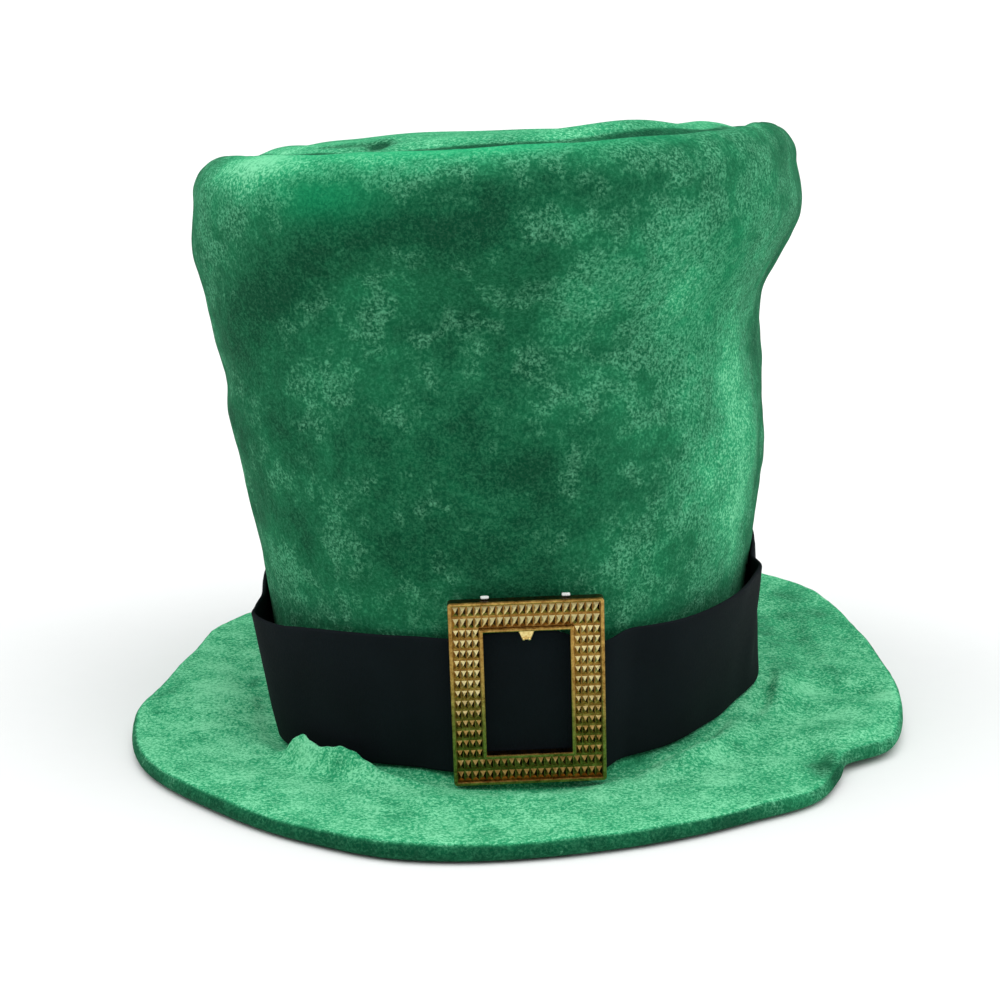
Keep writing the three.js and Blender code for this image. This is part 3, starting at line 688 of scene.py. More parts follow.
# Tone of the pile, from 0 dark to 1 light: around, up or out, their half widths, lean, and how
# much lighter it is there.
WALL_NAP = (
    # The first three rows, lighter on the shoulder's top, are painted sheen and light from above.
    (232, 1.07, 16, 0.06, 0.0000, 0.60),
    (262, 1.08, 24, 0.05, 0.0000, 0.46),
    (220, 1.00, 10, 0.10, 0.0000, 0.36),
    (286, 1.00, 8, 0.06, 0.0000, -0.24),
    (262, 0.94, 18, 0.06, 0.0030, -0.20),
    (238, 0.86, 15, 0.09, 0.0035, -0.24),
    (276, 0.95, 5, 0.04, 0.0000, 0.20),
    (250, 0.85, 7, 0.08, 0.0000, 0.30),
    (291, 0.84, 9, 0.10, 0.0000, 0.20),
    (301, 0.82, 7, 0.12, 0.0000, 0.18),
    (245, 1.00, 6, 0.05, 0.0000, -0.12),
    (266, 0.71, 3, 0.05, 0.0000, 0.16),
    (281, 0.66, 6, 0.05, 0.0000, -0.14),
    (306, 0.56, 7, 0.30, 0.0000, 0.12),
    (325, 0.49, 13, 0.32, 0.0000, 0.50),
    (240, 0.68, 5, 0.04, 0.0000, 0.14),
    (226, 0.54, 4, 0.05, 0.0000, 0.12),
    (222, 0.66, 6, 0.12, 0.0000, -0.12),
    (222, 0.44, 8, 0.06, 0.0000, -0.10),
    (246, 0.50, 5, 0.12, 0.0000, -0.06),
    (271, 0.48, 14, 0.16, 0.0000, -0.20),
    (255, 0.33, 9, 0.05, 0.0000, -0.12),
    (240, 0.32, 9, 0.04, 0.0000, 0.12),
    (222, 0.35, 9, 0.07, 0.0000, 0.28),
    (292, 0.34, 8, 0.05, 0.0000, 0.14),
    (80, 0.60, 30, 0.20, 0.0030, 0.25),
    (140, 0.75, 22, 0.12, 0.0000, -0.20),
    (165, 0.45, 18, 0.18, 0.0000, 0.20),
    (20, 0.40, 20, 0.14, 0.0020, -0.15),
)
# Where the wall's pile is uncrushed: around, up, their half widths, lean, and how much.
WALL_FRESH = (
    (262, 1.09, 34, 0.03, 0.0000, 0.80),
    (243, 1.00, 9, 0.04, 0.0000, 0.55),
    (312, 0.84, 7, 0.14, 0.0000, 0.25),
)
# The pit, bump and crease of the tip by its seam: around, inward, their half widths, lean, and
# their lift in metres, then the same with how much lighter the pile is there, where the darker pit and
# crease are painted shade.
TIP_RELIEF = (
    (245.5, 0.23, 4.0, 0.060, 0.000, 0.0016),
    (245.0, 0.14, 2.0, 0.035, 0.000, -0.0014),
    (236.0, 0.14, 9.0, 0.022, 0.002, -0.0006),
)
TIP_TONE = (
    (245.0, 0.14, 2.0, 0.035, 0.000, -0.90),
    (236.0, 0.14, 9.0, 0.022, 0.002, -0.35),
)
# Tone of the brim's pile, by the share of the way out, as for the wall.
BRIM_NAP = (
    (2, 0.42, 6, 0.08, 0.0, -0.26),
    (10, 0.60, 8, 0.07, 0.0, -0.10),
    (30, 0.80, 16, 0.22, 0.0, -0.22),
    (24, 0.40, 10, 0.12, 0.0, -0.25),
    (356, 0.68, 6, 0.04, 0.0, -0.14),
    (351, 0.90, 0.9, 0.12, 0.0, -0.14),
    (345, 0.94, 5, 0.08, 0.0, 0.10),
    # Painted shade in the dent of the fold at 318.
    (318, 0.95, 3.5, 0.12, 0.0, -0.65),
    (316, 0.38, 2, 0.03, 0.0, -0.16),
    (198, 0.92, 4, 0.06, 0.0, -0.20),
    (187, 0.90, 6, 0.09, 0.0, -0.24),
    (186, 0.33, 4, 0.06, 0.0, -0.25),
    (190, 0.60, 24, 0.40, 0.0, 0.08),
    # The next two rows are painted shadow, darker where the brim lies under the band in front.
    (232, 0.06, 20, 0.08, 0.0, -0.40),
    (300, 0.08, 26, 0.07, 0.0, -0.45),
    (290, 0.30, 12, 0.08, 0.0, 0.08),
    (120, 0.60, 20, 0.25, 0.0, -0.20),
    (75, 0.50, 16, 0.20, 0.0, 0.10),
)


def length(name, description, metres):
    return bpy.props.FloatProperty(
        name=name, description=description, default=metres, min=0.0, unit="LENGTH",
        subtype="DISTANCE", precision=4)


def angle(name, description, degrees):
    return bpy.props.FloatProperty(
        name=name, description=description, default=math.radians(degrees), unit="ROTATION", subtype="ANGLE")


def share(name, description, value):
    return bpy.props.FloatProperty(name=name, description=description, default=value, min=0.0)


def colour(name, description, linear):
    return bpy.props.FloatVectorProperty(
        name=name, description=description, default=linear, size=3, min=0.0, max=1.0, subtype="COLOR")


class HatSizes(bpy.types.PropertyGroup):
    """Sizes of the hat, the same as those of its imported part."""

    oval_long: length("Oval length", "Half the crown's long axis low down", 0.107)
    oval_short: length("Oval width", "Half the crown's short axis low down", 0.085)
    oval_turn: angle("Oval turn", "Direction of the long axis", 77.0)
    oval_squareness: share("Oval squareness", "Power of the superellipse, where 2 is an ellipse", 2.3)
    crown_height: length("Crown height", "From the surface below to the shoulder's top", 0.2142)
    crown_wall: length("Crown wall", "Thickness of the plush and its backing", 0.003)
    foot_ease: share("Fold fade", "Share of the height by which the wall's folds have faded in", 0.2)
    shoulder_radius: length("Shoulder radius", "Rounding between the wall and the tip", 0.013)
    shoulder_sweep: angle("Shoulder sweep", "Turn of the shoulder before the tip's seam", 112.0)
    rise_right: length("Right rise", "How much higher the right of the top stands", 0.006)
    rise_front: length("Front rise", "How much higher the front of the top stands", 0.0065)
    tip_dome: length("Tip dome", "Height of the tip's low dome", 0.0043)
    tip_dome_reach: share("Tip dome reach", "Share of the way in by which the dome is full", 0.4)
    tip_ease: share("Tip fold fade", "Share of the way in by which the tip's folds have faded in", 0.12)
    brim_width: length("Brim width", "From the crown to the rim", 0.062)
    brim_thickness: length("Brim thickness", "Two layers of plush over padding", 0.006)
    seat_lift: length("Seat lift", "Most that the underside lifts under the crown", 0.008)
    rim_lift: length("Rim lift", "Most that the underside lifts at the rim", 0.009)
    lift_reach: share("Lift reach", "Share of the width by which it has come to the rim's lift", 0.55)
    gather_ease: share("Gather fade", "Share of the width over which a gather begins", 0.08)
    rim_ease: share("Rim fade", "Share of the width over which gathers end", 0.12)
    band_width: length("Band width", "Height of the black band", 0.049)
    band_thickness: length("Band thickness", "Thickness of the band's cloth", 0.0015)
    band_clearance: length("Band clearance", "Least gap between the band and the crown", 0.0008)
    band_standoff: length("Band standoff", "Most that the loose band stands off", 0.009)
    band_hold: share("Band hold", "Half widths of the buckle over which the band lies in its plane", 0.6)
    band_release: share("Band release", "Half widths of the buckle where the band has left it", 1.5)
    band_footing: share("Band footing", "Share of the brim's width that it clears beside its face", 0.06)
    buckle_width: length("Buckle width", "Outside width of the buckle", 0.052)
    buckle_height: length("Buckle height", "Outside height of the buckle", 0.067)
    buckle_side_rail: length("Side rail", "Width of the buckle's upright rails", 0.0115)
    buckle_end_rail: length("End rail", "Width of its top and bottom rails", 0.011)
    buckle_depth: length("Buckle depth", "Thickness of the buckle", 0.0036)
    buckle_lip: length("Buckle lip", "Width of the raised lips", 0.0013)
    buckle_field_depth: length("Field depth", "How far the studded field lies below the lips", 0.0011)
    buckle_drop: length("Buckle drop", "How far the buckle reaches below the band", 0.0028)
    buckle_clearance: length("Buckle clearance", "Gap between the buckle and the band's plane", 0.0005)
    buckle_facing: angle("Buckle facing", "Direction that the buckle faces", 272.0)
    buckle_lean: angle("Buckle lean", "How far its top leans outwards", 6.5)
    buckle_roll: angle("Buckle roll", "How far its right side is turned up", 1.9)
    stud_width: length("Stud width", "Pitch of the small pyramids across", 0.0025)
    stud_length: length("Stud length", "Pitch of the small pyramids down", 0.0038)
    stud_height: length("Stud height", "Height of the small pyramids", 0.0009)
    stub_width: length("Stub width", "Width of the tongue's stub", 0.006)
    stub_length: length("Stub length", "How far the stub reaches into the window", 0.0034)
    stub_thickness: length("Stub thickness", "Thickness of the stub", 0.0016)
    fastener_width: length("Fastener width", "Width of each white fastener", 0.0028)
    fastener_height: length("Fastener height", "Height of each white fastener", 0.0008)
    fastener_depth: length("Fastener depth", "Depth of each white fastener", 0.0016)
    fastener_spacing: length("Fastener spacing", "Between the middles of the fasteners", 0.027)
    gap: length("Gap", "Gap between pieces that touch", 0.0003)


class HatFinish(bpy.types.PropertyGroup):
    """Sizes of the cloth's own relief and grain."""

    crumple: length("Crumple", "Height of the crown's broad soft waves", 0.0003)
    ripple: length("Ripple", "Height of the smaller waves", 0.00006)
    brim_crumple: length("Brim crumple", "Height of the brim's soft waves", 0.0003)
    pucker: length("Pucker", "Height of the small folds where the brim joins the crown", 0.00025)
    seam_depth: length("Seam depth", "How far the plush is drawn in at the tip's seam", 0.0016)
    seam_width: length("Seam width", "Width of that groove", 0.0022)
    back_seam: angle("Back seam", "Direction of the seam up the crown's back", 96.0)
    back_seam_depth: length("Back seam depth", "How far the plush is drawn in at it", 0.00096)
    tip_roll: length("Tip roll", "Height of the soft roll inside the tip's seam", 0.0010)
    band_sag: length("Band sag", "Height of the band's soft waves", 0.00015)
    band_lap: length("Band lap", "How far the band's lap stands proud at the back", 0.0009)
    band_bow: length("Band bow", "How far the band's upper edge rises behind the buckle", 0.0024)
    tuft_size: length("Tuft size", "Width of the pile's tufts", 0.0010)
    clump_size: length("Clump size", "Width of clumps of pile", 0.0040)
    drift_size: length("Drift size", "Width of patches of leaning pile", 0.013)
    pile_height: length("Pile height", "Relief of the tufts", 0.0006)
    sheen: share("Sheen", "Strength of the pile's sheen", 0.08)
    front_step: share("Front step", "How much lighter the pile is right of the front", 0.11)
    # edge_tone and front_edge_tone are painted shade on the brim's rolled edge.
    edge_tone: share("Edge tone", "How much darker the pile is on the brim's rolled edge", 0.38)
    front_edge_tone: share("Front edge tone", "How much darker it is again in front", 0.36)
    # crease_tone is painted shade in the tip's seam.
    crease_tone: share("Crease tone", "How much darker the pile is inside the tip's seam in front", 0.60)


class HatColours(bpy.types.PropertyGroup):
    """Colours of the hat and the studio."""

    plush_dark: colour("Plush, lying down", "Darkest pile", (0.003, 0.060, 0.026))
    plush_middle: colour("Plush", "Pile in the middle of its tones", (0.010, 0.150, 0.062))
    plush_bright: colour("Plush, bright", "Pile that is lit along its fibres", (0.028, 0.345, 0.150))
    plush_frost: colour("Plush, crushed tips", "Tips of the pile where it is crushed", (0.150, 0.380, 0.240))
    plush_fresh: colour("Plush, uncrushed", "Pile along folded edges", (0.006, 0.400, 0.155))
    # plush_light is the end of the ramp that the painted light on the brim reaches.
    plush_light: colour("Plush, lightest", "Lightest pile", (0.210, 0.660, 0.370))
    sheen: colour("Sheen", "Tint of the pile's sheen", (0.35, 0.95, 0.60))
    backing: colour("Backing", "Knitted back of the plush, inside the crown", (0.020, 0.130, 0.070))
    # The gilt colours are painted reflections, picked by plating: bright where a facet faces the top light,
    # brown in the grooves, dark where it faces sideways.
    band: colour("Band", "Black cloth", (0.0032, 0.0060, 0.0082))
    gilt_dark: colour("Gilt, dark", "Gold on the facets that face sideways", (0.020, 0.010, 0.004))
    gilt_middle: colour("Gilt, brown", "Gold on the sides and in the grooves", (0.230, 0.115, 0.024))
    gilt: colour("Gilt", "Gold on the lips and in the field", (0.580, 0.370, 0.105))
    gilt_light: colour("Gilt, bright", "Gold on the facets that face up", (1.000, 0.860, 0.420))
    nylon: colour("Nylon", "White fasteners", (0.85, 0.86, 0.84))
    floor: colour("Floor", "Studio floor", (0.78, 0.79, 0.79))


# Directions round the pieces at which their surfaces are sampled, and the stations up the crown's wall.
CROWN_DIRECTIONS = 420
BRIM_DIRECTIONS = 600
BAND_DIRECTIONS = 480
WALL_STATIONS = 150
# The shoulder's length as a share of the wall's height, for tables that run on over it.
SHOULDER_SHARE = 0.12


class HatOperator:
    """What the hat's operators share."""

    bl_options = {"REGISTER", "UNDO"}

    def hat(self, context):
        return Hat(context.scene.hat_sizes)

    def finish_piece(self, piece, material, slot, nodes):
        """Gives a piece its material, hides the CAD nodes that it stands for, and sets the body it rides on;
        slot is not used.
        """
        piece.data.materials.append(material)
        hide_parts(*nodes)
        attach(piece, "root")
        return {"FINISHED"}


class HAT_OT_crown_wall(HatOperator, bpy.types.Operator):
    """Builds the crown's wall with its rounded shoulder"""

    bl_idname = "hat.crown_wall"
    bl_label = "Crown Wall"

    def execute(self, context):
        """Stations up the outside, over the shoulder, and down the inside, by directions."""
        hat = self.hat(context)
        sizes, finish = context.scene.hat_sizes, context.scene.hat_finish
        around = directions(CROWN_DIRECTIONS)
        wall = sizes.crown_wall
        sweep = hat.shoulder_sweep
        rising = np.linspace(0.0, 1.0, WALL_STATIONS, endpoint=False)[:, None]
        outer = hat.wall_point(around, rising, 0.0)
        turned = np.linspace(0.0, 1.0, 28) ** 0.85 * sweep
        shoulder = hat.shoulder_point(around, turned[:, None], 0.0)
        edge = [hat.shoulder_point(around, np.full((1, 1), sweep), wall * part) for part in (0.33, 0.67)]
        turned_back = np.linspace(1.0, 0.0, 12, endpoint=False)[:, None] * sweep
        inner_shoulder = hat.shoulder_point(around, turned_back, wall)
        inner = hat.wall_point(around, np.linspace(1.0, 0.0, 33)[:, None], wall)
        points = np.concatenate((outer, shoulder, *edge, inner_shoulder, inner))
        rows = len(points)
        shown = len(outer) + len(shoulder)
        up = np.zeros((rows, 1))
        up[:len(outer)] = rising
        up[len(outer):shown, 0] = 1.0 + turned / sweep * SHOULDER_SHARE
        outside = np.zeros((rows, 1))
        outside[:shown] = 1.0
        to_seam = np.full((rows, 1), 1.0)
        to_seam[len(outer):shown, 0] = np.radians(sweep - turned) * sizes.shoulder_radius
        ease = smooth(up, 0.20, 0.36) * outside * smooth(to_seam, 0.0, 0.006)
        shape = (rows, CROWN_DIRECTIONS)
        pitch = (0.0014, 0.0016)
        waves = finish.crumple * soft_noise(shape, pitch, 0.050, 11)
        waves += finish.ripple * soft_noise(shape, pitch, 0.014, 12)
        groove = finish.seam_depth * bell(to_seam / finish.seam_width) * outside
        back = turn_between(around, math.degrees(finish.back_seam))
        back = back / math.degrees(finish.seam_width / sizes.oval_long)
        groove = np.maximum(groove, finish.back_seam_depth * bell(back) * outside)
        points = points + grid_normals(points) * (waves * ease - groove)[..., None]
        nap = 0.25 + patches(WALL_NAP, around, up) + 0.05 * soft_noise(shape, pitch, 0.045, 13)
        nap += 0.03 * soft_noise(shape, pitch, 0.016, 14)
        past_front = turn_between(around, hat.buckle_facing)
        lit = smooth(past_front, 3.0, 8.0) - smooth(past_front, 60.0, 90.0)
        nap += finish.front_step * lit * smooth(up, 0.2, 0.4)
        fresh = np.clip(patches(WALL_FRESH, around, up), 0.0, 1.0) * outside
        backing = np.broadcast_to(1.0 - outside, nap.shape)
        piece = mesh_object(
            "crown_wall_plush", points.reshape(-1, 3), grid_faces(*shape, True),
            attributes=(("nap", nap), ("fresh", fresh), ("backing", backing)))
        plush = plush_material(context.scene.hat_colours, finish)
        return self.finish_piece(piece, plush, "plush", ["crown_wall"])


class HAT_OT_crown_tip(HatOperator, bpy.types.Operator):
    """Builds the crown's flat tip inside its seam"""

    bl_idname = "hat.crown_tip"
    bl_label = "Crown Tip"

    def execute(self, context):
        """Stations from the middle of the underside to the seam and back to the middle on top."""
        hat = self.hat(context)
        sizes, finish = context.scene.hat_sizes, context.scene.hat_finish
        around = directions(CROWN_DIRECTIONS)
        wall = sizes.crown_wall
        under = hat.tip_point(around, np.linspace(1.0, 0.0, 16, endpoint=False)[:, None] ** 1.5, wall)
        side = [hat.tip_point(around, np.zeros((1, 1)), wall * (1 - part)) for part in (0.0, 0.33, 0.67)]
        inward = np.linspace(0.0, 1.0, 90) ** 1.35
        top = hat.tip_point(around, inward[:, None], 0.0)
        points = np.concatenate((under, *side, top))
        rows = len(points)
        shown = np.zeros((rows, 1))
        shown[-len(top):] = 1.0
        to_seam = np.full((rows, 1), 1.0)
        to_seam[-len(top):, 0] = inward * sizes.oval_long
        waves = finish.crumple * 2.0 * plan_noise(points, 0.060, 21)
        waves[-len(top):] *= smooth(to_seam[-len(top):], 0.0, 0.012)
        groove = finish.seam_depth * bell(to_seam / finish.seam_width)
        roll = np.zeros((rows, 1))
        roll[-len(top):, 0] = finish.tip_roll * bell((inward - 0.16) / 0.07)
        points[..., 2] += (waves + roll - groove) * shown
        # Painted light: the tip's pile is the same as the wall's, but its tone starts at 0.70, not 0.25,
        # lighter as the tip faces up to the top light.
        nap = 0.70 + 0.06 * plan_noise(points, 0.045, 22)
        # Painted shade: the seam's crease is darker in front.
        in_front = smooth(np.abs(turn_between(around, 268.0)), 75.0, 50.0)
        crease = smooth(inward, 0.0, 0.02) * (1.0 - smooth(inward, 0.055, 0.080))
        nap[-len(top):] -= finish.crease_tone * crease[:, None] * in_front
        points[-len(top):, :, 2] += patches(TIP_RELIEF, around, inward[:, None])
        # Painted shade in the pit and the crease.
        nap[-len(top):] += patches(TIP_TONE, around, inward[:, None])
        vertices, faces = capped(points)
        backing = np.broadcast_to(1.0 - shown, nap.shape)
        piece = mesh_object(
            "crown_tip_plush", vertices, faces,
            attributes=(("nap", capped_values(nap)), ("backing", capped_values(backing))))
        plush = plush_material(context.scene.hat_colours, finish)
        return self.finish_piece(piece, plush, "plush", ["crown_tip"])


class HAT_OT_brim(HatOperator, bpy.types.Operator):
    """Builds the padded brim with its gathers and folds"""

    bl_idname = "hat.brim"
    bl_label = "Brim"

    def execute(self, context):
        """Stations out along the underside, round the rolled edge, and in over the top."""
        hat = self.hat(context)
        sizes, finish = context.scene.hat_sizes, context.scene.hat_finish
        columns = BRIM_DIRECTIONS
        around = directions(columns)
        out_under = np.linspace(0.0, 1.0, 30, endpoint=False)[:, None]
        under = hat.brim_point(around, out_under, hat.brim_under(around, out_under))
        sweep = np.radians(np.linspace(-90.0, 90.0, 17))[:, None]
        lift = hat.brim_under(around, 1.0)
        edge = hat.place(
            around, 0.0, hat.rim_radius(around) + hat.edge * np.cos(sweep),
            lift + hat.edge + hat.edge * np.sin(sweep))
        out_top = np.linspace(1.0, 0.0, 100)[1:, None] ** 1.15
        top = hat.brim_point(around, out_top, hat.brim_top(around, out_top))
        inner = [
            hat.brim_point(around, 0.0, lerp(hat.brim_top(around, 0.0), hat.brim_under(around, 0.0), part))
            for part in (0.33, 0.67)
        ]
        points = np.concatenate((under, edge, top, *inner))
        rows = len(points)
        out = np.concatenate((out_under, np.ones((17, 1)), out_top, np.zeros((2, 1))))
        first_top = len(under) + len(edge)
        shown = np.zeros((rows, 1))
        shown[len(under):first_top + len(top)] = 1.0
        roll = np.zeros((rows, 1))
        roll[len(under):first_top, 0] = smooth(np.linspace(0.0, 1.0, 17), 0.25, 1.0)
        roll[first_top:first_top + len(top)] = 1.0
        pitch = (0.0007, 0.0016)
        waves = finish.brim_crumple * soft_noise((rows, columns), pitch, 0.050, 31)
        waves += finish.ripple * soft_noise((rows, columns), pitch, 0.012, 32)
        folds = soft_noise((1, columns), (1.0, 0.0016), 0.011, 33)
        puckers = finish.pucker * folds * bell((out - 0.26) / 0.10)
        ease = smooth(out, 0.16, 0.30) * roll
        points = points + grid_normals(points) * (waves * ease + puckers * ease)[..., None]
        points[..., 2] = np.maximum(points[..., 2], 0.0)
        # Painted light: the brim's pile is the same as the crown's, but its tone starts at 0.85, not 0.25,
        # lighter as the brim faces up to the top light and is seen at a low angle.
        nap = 0.85 + patches(BRIM_NAP, around, out) * shown
        nap = nap + 0.04 * soft_noise((rows, columns), pitch, 0.030, 34)
        nap = nap + 0.02 * soft_noise((rows, columns), pitch, 0.012, 35)
        # Painted shade: the rolled edge is darker where it faces out and down, and darker again in front.
        facing_out = np.zeros((rows, 1))
        facing_out[:len(under)] = 1.0
        facing_out[len(under):first_top, 0] = smooth(np.linspace(-90.0, 90.0, 17), 78.0, 40.0)
        ahead = smooth(np.abs(turn_between(around, 252.0)), 62.0, 42.0)
        nap = nap - (finish.edge_tone + finish.front_edge_tone * ahead) * facing_out
        piece = mesh_object(
            "brim_plush", points.reshape(-1, 3), grid_faces(rows, columns, True), attributes=(("nap", nap),))
        plush = plush_material(context.scene.hat_colours, finish)
        return self.finish_piece(piece, plush, "plush", ["brim"])


class HAT_OT_band(HatOperator, bpy.types.Operator):
    """Builds the black band round the crown"""

    bl_idname = "hat.band"
    bl_label = "Band"

    def execute(self, context):
        """A rounded strip: out face, top edge, back and bottom edge, by directions."""
        hat = self.hat(context)
        sizes, finish = context.scene.hat_sizes, context.scene.hat_finish
        columns = BAND_DIRECTIONS
        around = directions(columns)
        thick = sizes.band_thickness
        height = sizes.band_width
        ease = thick / 2
        turn = np.linspace(0.0, np.pi, 7)[1:-1]
        face = np.linspace(0.0, 1.0, 30)
        inset = np.concatenate((np.zeros(30), ease - ease * np.cos(turn), np.full(12, thick),
                                ease + ease * np.cos(turn)))
        level = np.concatenate((
            lerp(ease, height - ease, face),
            height - ease + ease * np.sin(turn),
            lerp(height - ease, ease, np.linspace(0.0, 1.0, 12)),
            ease - ease * np.sin(turn),
        ))
        rows = len(level)
        share_up = (level / height)[:, None]
        settled = sizes.band_clearance * smooth(np.abs(turn_between(around, 100.0)), 112.0, 96.0)
        points = hat.band_point(around, share_up, inset[:, None] + settled)
        sag = finish.band_sag * soft_noise((rows, columns), (height / 30, 0.0014), 0.040, 41)
        outside = smooth(thick - inset, 0.0, thick)[:, None]
        lap = smooth(np.abs(turn_between(around, 94.0)), 4.6, 3.8) * finish.band_lap
        points = points + grid_normals(points) * ((sag + lap) * outside)[..., None]
        bow = bell((turn_between(around, hat.buckle_facing) / 8.0) ** 2) * smooth(share_up, 0.5, 1.0)
        points[..., 2] += finish.band_bow * bow
        uv = np.stack(np.broadcast_arrays(around / 360.0 * 0.66, level[:, None]), axis=-1)
        piece = mesh_object(
            "band_cloth", points.reshape(-1, 3), grid_faces(rows, columns, True), uv=uv.reshape(-1, 2))
        return self.finish_piece(piece, band_material(context.scene.hat_colours), "band_cloth", ["band"])


def frame_loop(sizes, nodes, corner_steps=5):
    """Rings of points round the buckle: each node is (edge, inset, height, corner radius), where
    the inset is measured inwards from the outer edge or outwards from the window's edge."""
    turn = np.radians(np.linspace(0.0, 90.0, corner_steps))
    rings = []
    for edge, inset, height, radius in nodes:
        across = inset if edge == "outer" else sizes.buckle_side_rail - inset
        along = inset if edge == "outer" else sizes.buckle_end_rail - inset
        x = sizes.buckle_width / 2 - across - radius
        y = sizes.buckle_height / 2 - along - radius
        corners = []
        for quarter, (side, level) in enumerate(((1, 1), (-1, 1), (-1, -1), (1, -1))):
            bend = turn + quarter * np.pi / 2
            corners.append(np.stack((
                side * x + radius * np.cos(bend),
                level * y + radius * np.sin(bend),
                np.full(corner_steps, height),
            ), axis=-1))
        rings.append(np.concatenate(corners))
    return np.stack(rings)


# Rounding of the lips' corners.
LIP_ROUNDING = 0.00035
# Painted reflection on the buckle's lips, on the field between them, and on its sides, which are dark as if
# they faced dark surroundings.
LIP_TONE = 0.46
FIELD_TONE = 0.36
SIDE_TONE = 0.14
# Painted reflection on a stud's facets that face down, right, up and left, light where they face the top
# light and dark sideways, and its share on the lowest studs, which are painted darker towards the bottom.
FACET_TONES = (0.40, 0.00, 1.10, 0.84)
FACET_LOW = (1.0, 1.0, 0.55, 0.50)
# How far a stud reaches into the field below it.
STUD_SINK = 0.0002


def pyramid_field(sizes, x, y, width, height):
    """Rows of pyramids that fill one rail: five corners and five faces each, as whole arrays."""
    columns = max(1, round(width / sizes.stud_width))
    rows = max(1, round(height / sizes.stud_length))
    row, column = np.meshgrid(np.arange(rows), np.arange(columns), indexing="ij")
    across, down = width / columns, height / rows
    centre_x = (x - width / 2 + (column + 0.5) * across).ravel()
    centre_y = (y - height / 2 + (row + 0.5) * down).ravel()
    base = sizes.buckle_depth - sizes.buckle_field_depth - STUD_SINK
    corner = np.array(((-1, -1, 0), (1, -1, 0), (1, 1, 0), (-1, 1, 0), (0, 0, 1)), float)
    size = np.array((across * 0.5, down * 0.48, sizes.stud_height + STUD_SINK))
    centre = np.stack((centre_x, centre_y, np.full(centre_x.shape, base)), axis=-1)
    vertices = (centre[:, None, :] + corner * size).reshape(-1, 3)
    first = np.arange(len(centre))[:, None] * 5
    sides = np.array(((0, 1, 4), (1, 2, 4), (2, 3, 4), (3, 0, 4)))
    triangles = (first[:, :, None] + sides[None]).reshape(-1, 3)
    quads = first + np.array((3, 2, 1, 0))
    # Painted reflection: each facet's tone follows the way it faces, and the lower studs are painted darker.
    level = smooth(centre_y, -0.020, 0.012)[:, None]
    facets = np.array(FACET_TONES) * lerp(np.array(FACET_LOW), 1.0, level)
    plating = [facets.ravel(), np.zeros(len(centre))]
    return vertices, [triangles, quads], plating


